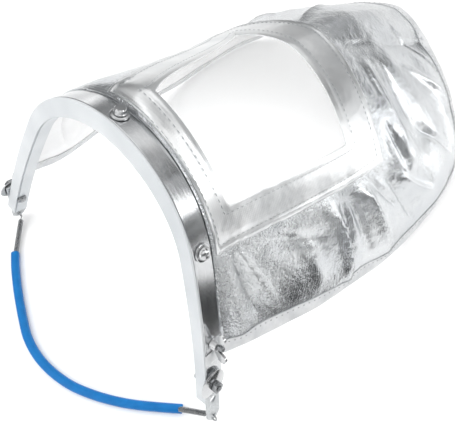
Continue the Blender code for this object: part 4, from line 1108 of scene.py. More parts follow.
def form_hem(fine, material):
    """Folded tape round the free edge: a long leaf outside, a rounded fold and a shorter leaf inside."""
    points, normals = fine[:2]
    lift, thick = TAPE_LIFT, BINDING_THICKNESS
    below = CLOTH_THICKNESS + lift
    rings, runs, leaf = [], [], []
    travelled = 0.0
    before = None
    for outer_spot, inner_spot in edge_spots():
        tip, inner = points[outer_spot], points[inner_spot]
        tip_out, inner_out = normals[outer_spot], normals[inner_spot]
        away = unit(tip - inner)
        short = inner + (tip - inner) * 0.25
        short_out = unit(inner_out + (tip_out - inner_out) * 0.25)
        middle = tip - tip_out * CLOTH_THICKNESS / 2
        travelled += 0.0 if before is None else float(np.linalg.norm(tip - before))
        before = tip
        swell = 0.18 * MM * noise.fractal(Vector(tip) / (14 * MM), 1.0, 2.0, 2)
        ring = [
            inner + inner_out * lift,
            inner + inner_out * (lift + thick * 0.7 + swell),
            inner + (tip - inner) * 0.12 + inner_out * (lift + thick + swell),
            inner + (tip - inner) * 0.5 + unit(inner_out + tip_out) * (lift + thick * 0.92 + swell),
        ]
        half = CLOTH_THICKNESS / 2 + lift
        for turn in (90, 60, 30, 0, -30, -60, -90):
            angle = math.radians(turn)
            reach = half + thick
            forward = away * (math.cos(angle) * (lift + thick))
            ring.append(middle + tip_out * (math.sin(angle) * reach) + forward)
        ring += [
            short - short_out * (below + thick), short - short_out * below, tip - tip_out * below,
            tip - tip_out * below * 0.5 + away * lift, tip + tip_out * lift + away * lift * 0.5,
        ]
        rings.append([Vector(corner) for corner in ring])
        leaf.append(inner + (tip - inner) * 0.16 + inner_out * (lift + thick + swell))
        runs += [(travelled, 0.0015 * corner) for corner in range(len(ring))]
    piece = sweep_profile("hem_tape", rings, material, 60)
    run_map(piece, runs)
    return piece, leaf


def form_hem_tab(name, side, material):
    """End of the tape, laid over the band as far as the rail's front edge, with soft ends."""
    low, high = CLOTH_TOP_LENGTH - BINDING_WIDTH, CLOTH_TOP_LENGTH
    rings, runs = [], []
    for share in np.linspace(0, 1, 15):
        place = side * (low + (high - low) * share)
        ends = 1 - abs(2 * share - 1) ** 8
        lift = BINDING_THICKNESS * (0.45 + 0.55 * ends)
        ring = [(GAP * 0.6, HEM_TAB_START), (GAP * 0.6, BAND_BACK + 0.6 * MM)]
        for back in np.linspace(1, 0, 12):
            behind = HEM_TAB_START + (BAND_BACK + 0.6 * MM - HEM_TAB_START) * back
            wave = 0.16 * MM * math.sin(back * 17 + share * 5)
            soft = 1 - abs(2 * back - 1) ** 10 * 0.5
            ring.append((GAP * 0.6 + lift * soft + wave * ends, behind))
        rings.append([arch_place(place, outward, behind) for outward, behind in ring])
        runs += [(0.001 * corner, 0.012 * share) for corner in range(len(ring))]
    piece = sweep_profile(name, rings, material, 50)
    run_map(piece, runs)
    return piece


# Stitches, laid along a path by a node tree


def stitch_tree(name, material):
    """Node tree: even points along the path, a small thread bump on each, made real and given its thread."""
    tree = bpy.data.node_groups.new(name, "GeometryNodeTree")
    for in_out in ("OUTPUT", "INPUT"):
        tree.interface.new_socket("Geometry", in_out=in_out, socket_type="NodeSocketGeometry")
    for label in ("Pitch", "Stitch length", "Thread radius"):
        tree.interface.new_socket(label, in_out="INPUT", socket_type="NodeSocketFloat")
    nodes = {label: tree.nodes.new(kind) for label, kind in STITCH_NODES.items()}
    nodes["spaced"].mode = "LENGTH"
    nodes["bump"].inputs["Segments"].default_value = 6
    nodes["bump"].inputs["Rings"].default_value = 4
    nodes["turn"].axis = "Z"
    nodes["half"].operation = "MULTIPLY"
    nodes["half"].inputs[1].default_value = 0.5
    nodes["thread"].inputs["Material"].default_value = material
    for source, output, target, socket in STITCH_LINKS:
        tree.links.new(nodes[source].outputs[output], nodes[target].inputs[socket])
    return tree


STITCH_NODES = {
    "path": "NodeGroupInput",
    "curve": "GeometryNodeMeshToCurve",
    "spaced": "GeometryNodeCurveToPoints",
    "bump": "GeometryNodeMeshUVSphere",
    "turn": "FunctionNodeAlignRotationToVector",
    "size": "ShaderNodeCombineXYZ",
    "half": "ShaderNodeMath",
    "laid": "GeometryNodeInstanceOnPoints",
    "real": "GeometryNodeRealizeInstances",
    "thread": "GeometryNodeSetMaterial",
    "end": "NodeGroupOutput",
}

# Links of the tree: node and output, then node and input
STITCH_LINKS = (
    ("path", "Geometry", "curve", "Mesh"),
    ("curve", "Curve", "spaced", "Curve"),
    ("path", "Pitch", "spaced", "Length"),
    ("spaced", "Tangent", "turn", "Vector"),
    ("path", "Stitch length", "half", 0),
    ("path", "Thread radius", "size", "X"),
    ("path", "Thread radius", "size", "Y"),
    ("half", "Value", "size", "Z"),
    ("spaced", "Points", "laid", "Points"),
    ("bump", "Mesh", "laid", "Instance"),
    ("turn", "Rotation", "laid", "Rotation"),
    ("size", "Vector", "laid", "Scale"),
    ("laid", "Instances", "real", "Geometry"),
    ("real", "Geometry", "thread", "Geometry"),
    ("thread", "Geometry", "end", "Geometry"),
)


def sewn(name, paths, tree, pitch, length, radius, material):
    """Rows of stitches along paths of points."""
    vertices, edges = [], []
    for path in paths:
        base = len(vertices)
        vertices += [tuple(p) for p in path]
        edges += [(base + i, base + i + 1) for i in range(len(path) - 1)]
    mesh = bpy.data.meshes.new(name)
    mesh.from_pydata(vertices, edges, [])
    piece = linked(name, mesh)
    modifier = piece.modifiers.new("stitches", "NODES")
    modifier.node_group = tree
    sizes = {"Pitch": pitch, "Stitch length": length, "Thread radius": radius}
    for item in tree.interface.items_tree:
        if item.in_out == "INPUT" and item.name in sizes:
            modifier[item.identifier] = sizes[item.name]
    MADE.append(piece)
    applied(piece, 60)
    piece.data.materials.clear()
    piece.data.materials.append(material)
    for polygon in piece.data.polygons:
        polygon.material_index = 0
    return piece


def border_path(fine, inset, high):
    """Closed row of points on the border, inset from its outer edge by a share of its width."""
    ends = []
    for lines, border_span, window_span in (
        (ALONG_LINES, BORDER_ALONG, WINDOW_ALONG),
        (ACROSS_LINES, BORDER_ACROSS, WINDOW_ACROSS),
    ):
        outer, inner = lines[part_of(lines, border_span)], lines[part_of(lines, window_span)]
        ends.append([outer[end] + (inner[end] - outer[end]) * inset for end in (0, -1)])
    (top, low), (left, right) = ends
    corners = [(top, left), (top, right), (low, right), (low, left), (top, left)]
    path = []
    for (a0, c0), (a1, c1) in zip(corners[:-1], corners[1:]):
        for share in np.linspace(0, 1, 60, endpoint=False):
            path.append((a0 + (a1 - a0) * share, c0 + (c1 - c0) * share))
    path.append(corners[-1])
    return [on_cloth(fine, along, column, high) for along, column in path]


def on_cloth(fine, along, column, high):
    """Point at a height above the fine grid, read between its lines."""
    cells = []
    for lines, place in ((ALONG_LINES, along), (ACROSS_LINES, column)):
        cell = int(np.clip(np.searchsorted(lines, place, side="right") - 1, 0, len(lines) - 2))
        cells.append((cell, (place - lines[cell]) / (lines[cell + 1] - lines[cell])))
    (row, t), (col, s) = cells

    def between(grid):
        upper = grid[row, col] * (1 - s) + grid[row, col + 1] * s
        lower = grid[row + 1, col] * (1 - s) + grid[row + 1, col + 1] * s
        return upper * (1 - t) + lower * t

    return between(fine[0]) + unit(between(fine[1])) * high


# Fasteners, turned or shaped along an axis that stands on the band


def fastener_frame(from_crown, behind=BAND_MIDDLE):
    """Axes on the band: local Z points out, local Y runs along the arch towards the foot."""
    out = stand(*arch_point(from_crown)[2:], 0.0).normalized()
    back = stand(0.0, 0.0, 1.0).normalized()
    turn = Matrix((back, out.cross(back).normalized(), out)).transposed().to_4x4()
    return Matrix.Translation(arch_place(from_crown, 0.0, behind)) @ turn


def polar(frame, radius, angle, height):
    return frame @ Vector((radius * math.cos(angle), radius * math.sin(angle), height))


def pole_to_pole(name, vertices, sides, material, smooth_angle=35):
    """Closed solid from one pole through equal rings of vertices to the other pole."""
    final = len(vertices) - 1
    faces = []
    for step in range(sides):
        after = (step + 1) % sides
        faces.append((0, 1 + after, 1 + step))
        faces.append((final, final - sides + step, final - sides + after))
        for low in range(1, final - sides, sides):
            faces.append((low + step, low + after, low + sides + after, low + sides + step))
    return point_faces_out(add_mesh(name, vertices, faces, material, smooth_angle))


def turned(name, profile, material, frame, sides=ROUND_SIDES):
    """Solid of revolution through (radius, height) points that start and end on the axis."""
    vertices = [frame @ Vector((0, 0, profile[0][1]))]
    for radius, height in profile[1:-1]:
        vertices += [polar(frame, radius, 2 * math.pi * step / sides, height) for step in range(sides)]
    vertices.append(frame @ Vector((0, 0, profile[-1][1])))
    return pole_to_pole(name, vertices, sides, material)


def ring_solid(name, sections, material, smooth_angle=35):
    """Ring-shaped solid through equal closed sections, the last joined to the first."""
    count = len(sections[0])
    faces = []
    for step in range(len(sections)):
        base, following = step * count, ((step + 1) % len(sections)) * count
        for corner in range(count):
            after = (corner + 1) % count
            faces.append((base + corner, base + after, following + after, following + corner))
    vertices = [point for section in sections for point in section]
    return point_faces_out(add_mesh(name, vertices, faces, material, smooth_angle))


def ringed(name, profile, material, frame, sides=ROUND_SIDES):
    """Washer-like solid of revolution round a closed (radius, height) profile."""
    angles = [2 * math.pi * step / sides for step in range(sides)]
    return ring_solid(name, [[polar(frame, r, angle, h) for r, h in profile] for angle in angles], material)


def build_hex_nut(name, material, frame, base):
    """Hexagon nut with a round bore."""
    bore, top = SHANK_RADIUS + HOLE_CLEARANCE, base + HEX_HEIGHT
    sections = []
    for step in range(HEX_SIDES):
        angle = 2 * math.pi * step / HEX_SIDES
        outer = HEX_RADIUS * math.cos(math.pi / 6) / math.cos(angle % (math.pi / 3) - math.pi / 6)
        profile = ((bore, base), (outer, base), (outer, top), (bore, top))
        sections.append([polar(frame, radius, angle, height) for radius, height in profile])
    return ring_solid(name, sections, material, smooth_angle=25)


def combine(piece, tool, operation):
    """Joins a helper solid to the piece, or cuts it out; the helper itself isn't shown."""
    tool.hide_render = True
    tool.display_type = "WIRE"
    modifier = piece.modifiers.new(tool.name, "BOOLEAN")
    modifier.operation = operation
    modifier.solver = "EXACT"
    modifier.object = tool


def extruded(name, low, high, material):
    """Flat solid between two equal outlines."""
    count = len(low)
    faces = [tuple(range(count)), tuple(reversed(range(count, 2 * count)))]
    for corner in range(count):
        after = (corner + 1) % count
        faces.append((corner, after, count + after, count + corner))
    return point_faces_out(add_mesh(name, low + high, faces, material))


def web_level(from_crown):
    """Height of the rail web's inner face below the band's outer face."""
    return -flange_depth(from_crown)


def build_washer(name, material, frame, base=GAP):
    bore = SHANK_RADIUS + HOLE_CLEARANCE
    top = base + WASHER_THICKNESS
    profile = (
        (bore, base), (WASHER_RADIUS, base), (WASHER_RADIUS, top - 0.3 * MM),
        (WASHER_RADIUS - 0.5 * MM, top), (bore, top),
    )
    return ringed(name, profile, material, frame)


def build_knob(name, material, frame, inner_level):
    base = 2 * GAP + WASHER_THICKNESS
    top = base + KNOB_HEIGHT
    profile = (
        (0, inner_level - 1.0 * MM), (SHANK_RADIUS, inner_level - 1.0 * MM), (SHANK_RADIUS, base),
        (KNOB_RADIUS + 0.5 * MM, base), (KNOB_RADIUS + 0.5 * MM, base + 0.6 * MM),
        (KNOB_RADIUS, base + 1.0 * MM), (KNOB_RADIUS, top - 0.5 * MM), (KNOB_RADIUS - 0.6 * MM, top),
        (0, top),
    )
    return turned(name, profile, material, frame)


def build_dome_screw(name, material, frame, inner_level):
    base = 2 * GAP + WASHER_THICKNESS
    profile = [
        (0, inner_level - 1.0 * MM), (SHANK_RADIUS, inner_level - 1.0 * MM), (SHANK_RADIUS, base),
        (DOME_RADIUS, base),
    ]
    for step in range(1, 6):
        angle = step * math.pi / 12
        profile.append((DOME_RADIUS * math.cos(angle), base + DOME_HEIGHT * math.sin(angle)))
    profile.append((0, base + DOME_HEIGHT))
    return turned(name, profile, material, frame)


def build_stud(name, material, frame, inner_level, reach):
    profile = (
        (0, inner_level - BOLT_HEAD_HEIGHT - GAP),
        (BOLT_HEAD_RADIUS * 0.7, inner_level - BOLT_HEAD_HEIGHT - GAP),
        (BOLT_HEAD_RADIUS, inner_level - BOLT_HEAD_HEIGHT * 0.5 - GAP),
        (BOLT_HEAD_RADIUS, inner_level - GAP),
        (SHANK_RADIUS, inner_level - GAP),
        (SHANK_RADIUS, reach - 0.5 * MM),
        (SHANK_RADIUS - 0.5 * MM, reach),
        (0, reach),
    )
    return turned(name, profile, material, frame)


def wing_outline():
    """Half outline of the wing nut seen from its side, as (across, height)."""
    lobe_across = WING_SPAN - WING_LOBE_RADIUS
    lobe_height = WING_BOSS_HEIGHT + WING_LOBE_RADIUS * 0.9
    points = [(WING_BOSS_RADIUS * 0.8, GAP + 0.4 * MM)]
    for degrees in range(-70, 131, 25):
        angle = math.radians(degrees)
        across, up = WING_LOBE_RADIUS * math.cos(angle), WING_LOBE_RADIUS * math.sin(angle)
        points.append((lobe_across + across, lobe_height + up))
    return points + [(WING_BOSS_RADIUS * 0.8, WING_BOSS_HEIGHT + GAP)]


def build_wing_nut(name, material, frame):
    """Boss and two wings, joined into one body by unions, with a round bore."""
    bore, top, half = SHANK_RADIUS + HOLE_CLEARANCE, GAP + WING_BOSS_HEIGHT, WING_THICKNESS / 2
    profile = ((bore, GAP), (WING_BOSS_RADIUS + 0.6 * MM, GAP), (WING_BOSS_RADIUS, top), (bore, top))
    boss = ringed(name, profile, material, frame)
    for side in (1, -1):
        low, high = ([frame @ Vector((x, side * a, h)) for a, h in wing_outline()] for x in (half, -half))
        combine(boss, extruded(f"{name}_wing_{side}", low, high, material), "UNION")
    return boss


def build_cup_washer(name, material, frame, base):
    bore = SHANK_RADIUS + HOLE_CLEARANCE
    profile = (
        (bore, base + CUP_WASHER_RISE - WASHER_THICKNESS * 0.6),
        (HEX_RADIUS, base + CUP_WASHER_RISE - WASHER_THICKNESS * 0.6), (CUP_WASHER_RADIUS - 1.0 * MM, base),
        (CUP_WASHER_RADIUS, base), (CUP_WASHER_RADIUS, base + 0.5 * MM),
        (HEX_RADIUS, base + CUP_WASHER_RISE), (bore, base + CUP_WASHER_RISE),
    )
    return ringed(name, profile, material, frame, sides=24)


# Hanger plates and spring


def hanger_frame(side):
    """Frame at the leg bolt, turned about the bolt by the plate's swing."""
    frame = fastener_frame(side * (ARCH_HALF_LENGTH - LEG_BOLT_ALONG_LEG), LEG_BOLT_BEHIND)
    down_sign = 1.0 if frame.col[1][2] < 0 else -1.0
    return frame @ Matrix.Rotation(-HANGER_SWING[side] * down_sign, 4, "Z"), down_sign


def hanger_reach(side):
    """Length from the bolt to the plate's tip, so that the tip ends at its clearance above the floor."""
    frame, down_sign = hanger_frame(side)
    drop_at_corner = abs(frame.col[0][2]) * HANGER_WIDTH * 0.35
    height = frame.col[3][2] - HANGER_TIP_CLEARANCE[side] - drop_at_corner
    return height / -(frame.col[1][2] * down_sign)


def build_hanger(name, side, material):
    """Stamped plate with a narrower round tip, and its three holes."""
    frame, down_sign = hanger_frame(side)
    reach = hanger_reach(side)
    half = HANGER_WIDTH / 2
    tip_radius = half * 0.62
    outline = [(-half, -HANGER_ABOVE_BOLT), (half, -HANGER_ABOVE_BOLT), (half, reach - tip_radius * 1.6)]
    for step in range(1, 6):
        angle = math.radians(step * 30)
        outline.append((tip_radius * math.cos(angle), reach - tip_radius + tip_radius * math.sin(angle)))
    outline.append((-half, reach - tip_radius * 1.6))
    levels = (GAP, GAP + HANGER_THICKNESS)
    low, high = ([frame @ Vector((a, d * down_sign, level)) for a, d in outline] for level in levels)
    plate = extruded(name, low, high, material)
    for label, down, radius in (
        ("bolt", 0.0, SHANK_RADIUS + HOLE_CLEARANCE),
        ("mid", reach * HANGER_MID_HOLE_SHARE, HANGER_MID_HOLE_RADIUS),
        ("tip", hook_hole_down(side), HANGER_HOLE_RADIUS),
    ):
        spot = frame @ Matrix.Translation((0, down * down_sign, 0))
        profile = ((0, -2 * MM), (radius, -2 * MM), (radius, 5 * MM), (0, 5 * MM))
        combine(plate, turned(f"{name}_{label}_hole", profile, material, spot, sides=16), "DIFFERENCE")
    return plate


def hook_hole_down(side):
    return hanger_reach(side) - HOOK_RADIUS * 1.55


def hook_hole_centre(side):
    frame, down_sign = hanger_frame(side)
    return frame @ Vector((0, hook_hole_down(side) * down_sign, GAP + HANGER_THICKNESS / 2))


def spot_at(lengths, points, at):
    """Point of a chain of points at a length along it."""
    return np.array([np.interp(at, lengths, points[:, axis]) for axis in range(3)])


def smooth_route(points, spacing):
    """Even points along a Catmull-Rom curve through the route's own points."""
    points = [np.array(p, float) for p in points]
    padded = [2 * points[0] - points[1]] + points + [2 * points[-1] - points[-2]]
    curve = []
    for before, start, end, after in zip(padded, padded[1:], padded[2:], padded[3:]):
        for t in np.linspace(0, 1, 12, endpoint=False):
            bend = (2 * before - 5 * start + 4 * end - after) * t**2
            twist = (3 * start - before - 3 * end + after) * t**3
            curve.append(0.5 * (2 * start + (end - before) * t + bend + twist))
    curve = np.array(curve + [points[-1]])
    length = np.concatenate([[0.0], np.cumsum(np.linalg.norm(np.diff(curve, axis=0), axis=1))])
    count = max(int(round(length[-1] / spacing)), 2)
    return np.array([spot_at(length, curve, at) for at in np.linspace(0, length[-1], count + 1)])


def sheath_route(spacing):
    return smooth_route([(x * MM, y * MM, SHEATH_RADIUS + GAP / 3) for x, y in SHEATH_ROUTE_MM], spacing)


def ring_round(centre, side, up, radius, sides):
    angles = [2 * math.pi * step / sides for step in range(sides)]
    return [centre + (side * math.cos(angle) + up * math.sin(angle)) * radius for angle in angles]


def sweep_round(name, points, radii, sides, material):
    """Round bar along points with a radius at each, its ends capped."""
    side = (points[1] - points[0]).orthogonal().normalized()
    rings = []
    for index, (point, radius) in enumerate(zip(points, radii)):
        heading = (points[min(index + 1, len(points) - 1)] - points[max(index - 1, 0)]).normalized()
        side = (side - heading * side.dot(heading)).normalized()
        rings.append(ring_round(point, side, heading.cross(side), radius, sides))
    return sweep_profile(name, rings, material)


def form_sheath(material):
    """Vinyl tube along its route, open at both ends so that the spring shows coming out."""
    points = sheath_route(SHEATH_SPACING)
    length = SHEATH_SPACING * (len(points) - 1)
    lengths = np.linspace(0, length, len(points))
    bore, lip, edge = SHEATH_RADIUS - SHEATH_WALL, SHEATH_RADIUS - 0.3 * MM, 0.5 * MM
    deep = np.linspace(SHEATH_MOUTH_DEPTH, 0.0, 5)
    profile = [(deep[0], 0.0)] + [(depth, bore) for depth in deep] + [(0.0, lip)]
    profile += [(along, SHEATH_RADIUS) for along in np.linspace(edge, length - edge, len(points))]
    profile += [(length, lip)] + [(length - depth, bore) for depth in deep[::-1]] + [(length - deep[0], 0.0)]
    vertices = []
    for along, radius in profile:
        centre = Vector(spot_at(lengths, points, along))
        ahead = spot_at(lengths, points, min(along + MM, length))
        behind = spot_at(lengths, points, max(along - MM, 0))
        heading = Vector(ahead - behind).normalized()
        side = heading.cross(Vector((0, 0, 1))).normalized()
        if radius == 0.0:
            vertices.append(centre)
        else:
            vertices += ring_round(centre, side, side.cross(heading), radius, SHEATH_SIDES)
    return pole_to_pole("vinyl_sheath", vertices, SHEATH_SIDES, material, 60)


def form_spring(name, side, material):
    """Close-wound coil out of the sheath's mouth, then a hook through the hanger's tip hole."""
    route = sheath_route(2.2 * 2 * SHEATH_RADIUS)
    mouth, inside = (Vector(point) for point in (route[:2] if side > 0 else route[:-3:-1]))
    leaving = (mouth - inside).normalized()
    frame, down_sign = hanger_frame(side)
    down = frame.col[1].to_3d() * down_sign
    out = frame.col[2].to_3d()
    centre = hook_hole_centre(side) + down * HOOK_RADIUS
    hook_start = centre - out * HOOK_RADIUS
    body_end = hook_start - (hook_start - mouth).normalized() * 1.2 * HOOK_RADIUS
    start = mouth - leaving * (SHEATH_MOUTH_DEPTH * 0.6)
    axis = []
    for share in np.linspace(0, 1, 60):
        axis.append(start.lerp(body_end, share) + leaving * (SPRING_BOW * share * (1 - share) ** 2))
    run = [0.0]
    for a, b in zip(axis, axis[1:]):
        run.append(run[-1] + (b - a).length)
    grid = np.array([tuple(point) for point in axis])
    turns = run[-1] / COIL_PITCH
    steps = int(turns * COIL_STEPS)
    coil_radius = min(SPRING_RADIUS, SHEATH_RADIUS - SHEATH_WALL - 0.1 * MM) - COIL_WIRE_RADIUS
    points, carried = [], None
    for step in range(steps + 1):
        at = run[-1] * step / steps
        places = (at, min(at + MM, run[-1]), max(at - MM, 0))
        spot, ahead, behind = (Vector(spot_at(run, grid, place)) for place in places)
        heading = (ahead - behind).normalized()
        carried = heading.orthogonal() if carried is None else carried
        carried = (carried - heading * carried.dot(heading)).normalized()
        angle = 2 * math.pi * turns * step / steps
        taper = min(1.0, (steps - step) / 20 + 0.35)
        across = carried * math.cos(angle) + heading.cross(carried) * math.sin(angle)
        points.append(spot + across * coil_radius * taper)
    last = points[-1]
    points += [last.lerp(hook_start, share) for share in np.linspace(0.2, 0.8, 4)]
    radii = [COIL_WIRE_RADIUS] * len(points) + [HOOK_WIRE_RADIUS] * 25
    for angle in np.linspace(0, HOOK_TURN, 25):
        points.append(centre - out * HOOK_RADIUS * math.cos(angle) - down * HOOK_RADIUS * math.sin(angle))
    return sweep_round(name, points, radii, COIL_SIDES, material)


# Camera, fitted to the bracket and the hem in the photograph: turn and height in degrees, lens in mm
CAMERA_TURN, CAMERA_HEIGHT = 43.54, 59.02
CAMERA_LENS = 42.27
CAMERA_PLACE = (0.184159, -0.211666, 0.428949)
FLOOR_SIZE = 8.0

# Brightness of the room from the horizon up to overhead
ROOM_BANDS = (
    (0.00, "#FFFFFF"),
    (0.10, "#E8E8E8"),
    (0.19, "#8A8B8C"),
    (0.44, "#7C7D7E"),
    (0.60, "#E2E2E2"),
    (0.82, "#FAFAFA"),
    (1.00, "#E4E4E4"),
)
PANEL_LOW = 0.35
PANEL_HIGH = 1.5
WORLD_STRENGTH = 1.15

# Soft panels: name, place and aim, width and height in metres, power in watts
LIGHTS = (
    ("key_panel", (-0.55, -0.5, 1.1), (0, 0.02, 0.08), 1.4, 1.4, 9.5),
    ("side_panel", (0.9, 0.5, 0.6), (0, 0.02, 0.08), 0.4, 0.9, 3.0),
    ("mouth_panel", (0.05, -0.75, 0.3), (0, 0.1, 0.03), 0.5, 0.3, 0.7),
    ("inside_panel", (0.0, 0.0, 0.1), (0, 0.0, 0), 0.08, 0.12, 0.1),
    ("band_panel", (0.84, 0.8, 0.24), (0.08, -0.08, 0.12), 0.62, 0.5, 1.5),
)

# Cards: name, place and aim, width and height in metres, colour
CARD_DARK = "#2A2B2C"
CARDS = (
    ("side_card", (0.72, 0.18, 0.17), (0, 0.1, 0.1), 0.9, 0.34, "#B9BBBC"),
    ("high_card", (0.38, 0.86, 0.70), (0.05, -0.08, 0.18), 0.34, 0.42, "#2E2F30"),
    ("floor_card", (0.365, -0.08, 0.003), (0.365, -0.08, 0.5), 0.35, 0.13, "#141516"),
    ("far_floor_card", (0.62, 0.24, 0.003), (0.62, 0.24, 0.5), 0.3, 0.12, "#BDBEBF"),
)


def camera_at_photo_angle():
    """The photograph's viewpoint."""
    azimuth, elevation = math.radians(CAMERA_TURN), math.radians(CAMERA_HEIGHT)
    level = math.cos(elevation)
    back = Vector((math.sin(azimuth) * level, -math.cos(azimuth) * level, math.sin(elevation)))
    right = Vector((math.cos(azimuth), math.sin(azimuth), 0))
    lens = bpy.data.cameras.new("photo_camera")
    lens.lens = CAMERA_LENS
    lens.sensor_width = 36
    lens.sensor_fit = "HORIZONTAL"
    lens.clip_start = 0.01
    lens.clip_end = 20
    camera = linked("photo_camera", lens)
    turn = Matrix((right, back.cross(right), back)).transposed().to_4x4()
    camera.matrix_world = Matrix.Translation(CAMERA_PLACE) @ turn
    bpy.context.scene.camera = camera


def rectangle(name, width, height, material):
    """One flat face round the origin."""
    mesh = bpy.data.meshes.new(name)
    w, h = width / 2, height / 2
    mesh.from_pydata([(-w, -h, 0), (w, -h, 0), (w, h, 0), (-w, h, 0)], [], [(0, 1, 2, 3)])
    mesh.materials.append(material)
    return linked(name, mesh)


def aimed(place, aim, axis):
    return (Vector(aim) - Vector(place)).to_track_quat(axis, "Y")


def reflected_card(name, place, aim, width, height, colour):
    """A card beside the object that only its reflections show; it isn't part of the object."""
    material = fresh_material(f"{name}_paper", colour, 0.9, 0.0)
    clouds = speckle(material, 0.16, 1.0, 0.4)
    tinted(material, clouds, CARD_DARK, colour, 0.42, 0.58)
    card = rectangle(name, width, height, material)
    card.data.transform(Matrix.Translation(place) @ aimed(place, aim, "Z").to_matrix().to_4x4())
    card.visible_camera = card.visible_shadow = card.visible_diffuse = card.visible_transmission = False


def soft_light(name, place, aim, width, height, power):
    lamp = bpy.data.lights.new(name, "AREA")
    lamp.shape = "RECTANGLE"
    lamp.size, lamp.size_y, lamp.energy = width, height, power
    piece = linked(name, lamp)
    piece.location = place
    piece.rotation_mode = "QUATERNION"
    piece.rotation_quaternion = aimed(place, aim, "-Z")


def stage_floor():
    """Matt white paper under the object, with a faint fibre."""
    material = fresh_material("matt_white_paper", "#FFFFFF", 0.95, 0.0)
    roughened(material, speckle(material, 3 * MM, 2.0), 0.9, 1.0)
    rectangle("paper_floor", FLOOR_SIZE, FLOOR_SIZE, material)


def studio_light():
    """A pale room with panels and flags: bright overhead, a dark band above a white horizon."""
    bpy.context.scene.view_settings.view_transform = "Standard"
    world = bpy.data.worlds.new("pale_room")
    bpy.context.scene.world = world
    world.use_nodes = True
    direction = add_node(world, "ShaderNodeTexCoord").outputs["Generated"]
    height = add_node(world, "ShaderNodeSeparateXYZ", None, {"Vector": direction}).outputs["Z"]
    panels = speckle(world, 0.62, 1.0, 0.4, (1, 1, 1.6), direction)
    bands = add_node(world, "ShaderNodeValToRGB", None, {"Fac": height})
    for position, hex_code in ROOM_BANDS[2:]:
        bands.color_ramp.elements.new(position)
    for element, (position, hex_code) in zip(bands.color_ramp.elements, ROOM_BANDS):
        element.position = position
        element.color = rgb(hex_code)
    patch = spread(world, panels, PANEL_LOW, PANEL_HIGH, 0.40, 0.60)
    seen = add_node(world, "ShaderNodeLightPath").outputs["Is Camera Ray"]
    plain = add_node(world, "ShaderNodeMix", {"data_type": "RGBA", "blend_type": "MIX"})
    links = world.node_tree.links
    scaled = add_node(
        world, "ShaderNodeVectorMath", {"operation": "SCALE"}, {0: bands.outputs["Color"], "Scale": patch}
    )
    links.new(seen, plain.inputs[0])
    links.new(scaled.outputs["Vector"], plain.inputs[6])
    plain.inputs[7].default_value = rgb("#F7F7F7")
    background = world.node_tree.nodes["Background"]
    links.new(plain.outputs[2], background.inputs["Color"])
    background.inputs["Strength"].default_value = WORLD_STRENGTH
    for light in LIGHTS:
        soft_light(*light)
    bpy.data.objects["key_panel"].visible_glossy = False
    for card in CARDS:
        reflected_card(*card)


def move_onto_model():
    """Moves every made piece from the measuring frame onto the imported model, found from the rail's box."""
    low = np.full(3, 1e9)
    high = -low
    for place in (-ARCH_HALF_LENGTH, -CROWN_HALF_LENGTH, 0.0, CROWN_HALF_LENGTH, ARCH_HALF_LENGTH):
        depth = flange_depth(place)
        for outward, behind in ((0, 0), (-depth, 0), (-depth, RAIL_WIDTH), (0, FLANGE_THICKNESS)):
            point = np.array(arch_place(place, outward, behind))
            low, high = np.minimum(low, point), np.maximum(high, point)
    packed_low, packed_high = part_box("rail")
    shift = (np.array(packed_low) + np.array(packed_high) - low - high) / 2
    shift[2] = 0.0
    for piece in MADE:
        piece.data.transform(Matrix.Translation(shift))
        piece.data.update()


def stand_for(piece, node):
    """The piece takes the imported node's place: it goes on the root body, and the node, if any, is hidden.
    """
    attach(piece, "root")
    if node:
        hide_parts(node)


def fitted(piece, node, bevel=0.15 * MM):
    rounded_edges(piece, bevel)
    applied(piece)
    stand_for(piece, node)


camera_at_photo_angle()
stage_floor()
studio_light()

rail_coat = powder_coat()
band_metal = brushed_aluminium()
foil_cloth = aluminized_cloth()
lining = base_cloth()
doubled_cloth = border_cloth()
acetate = clear_sheet()
tape = binding_tape()
bright_steel = plated_steel("zinc_plated_steel", "#C9CACB", 0.16)
dark_steel = plated_steel("zinc_plated_thread", "#8E9092", 0.24)
hanger_steel = plated_steel("stamped_steel_plate", "#BFC2C4", 0.28)
spring_wire = plated_steel("drawn_spring_wire", "#9A9C9E", 0.26)
grey_thread = thread("grey_sewing_thread", "#A9ACAF")
# Dark grey for the hem's stitch bumps: painted shade of the stitch holes, not the colour of a thread
painted_stitch_shade = thread("stitch_hole_shadow", "#6E7072")
vinyl = blue_vinyl()

fine = fine_cloth()
stitches = stitch_tree("stitch_row", grey_thread)

rail = form_rail(rail_coat)
band = form_band(band_metal)
cloth = form_cloth(fine, foil_cloth, lining)
border = form_border(fine, doubled_cloth, lining)
window = form_window(fine, acetate)
hem, hem_leaf = form_hem(fine, tape)
# Hem stitches in the dark grey that is painted shade of their stitch holes
hem_row = sewn("hem_stitches", [hem_leaf], stitches, HEM_STITCH_PITCH, 1.5 * MM, 0.34 * MM, painted_stitch_shade)
lift = GAP + BORDER_THICKNESS
border_rows = sewn(
    "border_stitches",
    [border_path(fine, 0.20, lift + 0.15 * MM), border_path(fine, 0.80, lift + 0.45 * MM)],
    stitches,
    STITCH_PITCH,
    STITCH_LENGTH,
    THREAD_RADIUS,
    grey_thread,
)

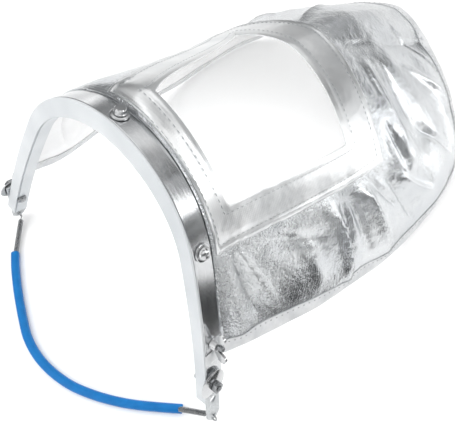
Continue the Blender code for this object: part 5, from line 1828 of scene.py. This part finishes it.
stand_for(rail, "rail")
stand_for(band, "band")
stand_for(cloth, "hood_cloth")
stand_for(border, "window_border")
stand_for(window, "window_sheet")
stand_for(hem, "hem_binding")
stand_for(hem_row, None)
stand_for(border_rows, None)


place = fastener_frame(0.0)
fitted(build_washer("knob_washer", bright_steel, place), "crown_washer")
fitted(build_knob("flat_knob", bright_steel, place, web_level(0.0)), "crown_knob")

from_crown = ARCH_HALF_LENGTH - DOME_SCREW_ALONG_LEG
place = fastener_frame(from_crown)
fitted(build_washer("screw_washer", bright_steel, place), "dome_washer")
fitted(build_dome_screw("domed_screw", bright_steel, place, web_level(from_crown)), "dome_screw")

from_crown = ARCH_HALF_LENGTH - WING_NUT_ALONG_LEG
place = fastener_frame(from_crown)
stud = build_stud("threaded_stud", dark_steel, place, web_level(from_crown), STUD_PROJECTION)
fitted(stud, "wing_stud")
fitted(finished(build_wing_nut("pressed_wing_nut", bright_steel, place)), "wing_nut", bevel=0.3 * MM)

washer_base = 2 * GAP + HANGER_THICKNESS
nut_base = washer_base + CUP_WASHER_RISE + GAP
bolt_reach = nut_base + HEX_HEIGHT + 1.2 * MM
for side, word in ((1, "right"), (-1, "left")):
    from_crown = side * (ARCH_HALF_LENGTH - LEG_BOLT_ALONG_LEG)
    place = fastener_frame(from_crown, LEG_BOLT_BEHIND)
    plate = finished(build_hanger(f"stamped_hanger_{word}", side, hanger_steel))
    fitted(plate, f"hanger_{word}", 0.2 * MM)
    cup = build_cup_washer(f"cup_washer_{word}", bright_steel, place, washer_base)
    fitted(cup, f"leg_washer_{word}", bevel=0.1 * MM)
    nut = build_hex_nut(f"hex_nut_{word}", dark_steel, place, nut_base)
    fitted(nut, f"leg_nut_{word}", bevel=0.25 * MM)
    bolt = build_stud(f"hex_bolt_{word}", dark_steel, place, web_level(from_crown), bolt_reach)
    fitted(bolt, f"leg_bolt_{word}")
    stand_for(form_spring(f"coiled_spring_{word}", side, spring_wire), f"spring_end_{word}")
    tab = form_hem_tab(f"tape_end_{word}", side, tape)
    stand_for(tab, f"hem_tab_{word}")

stand_for(form_sheath(vinyl), "spring_sheath")

move_onto_model()
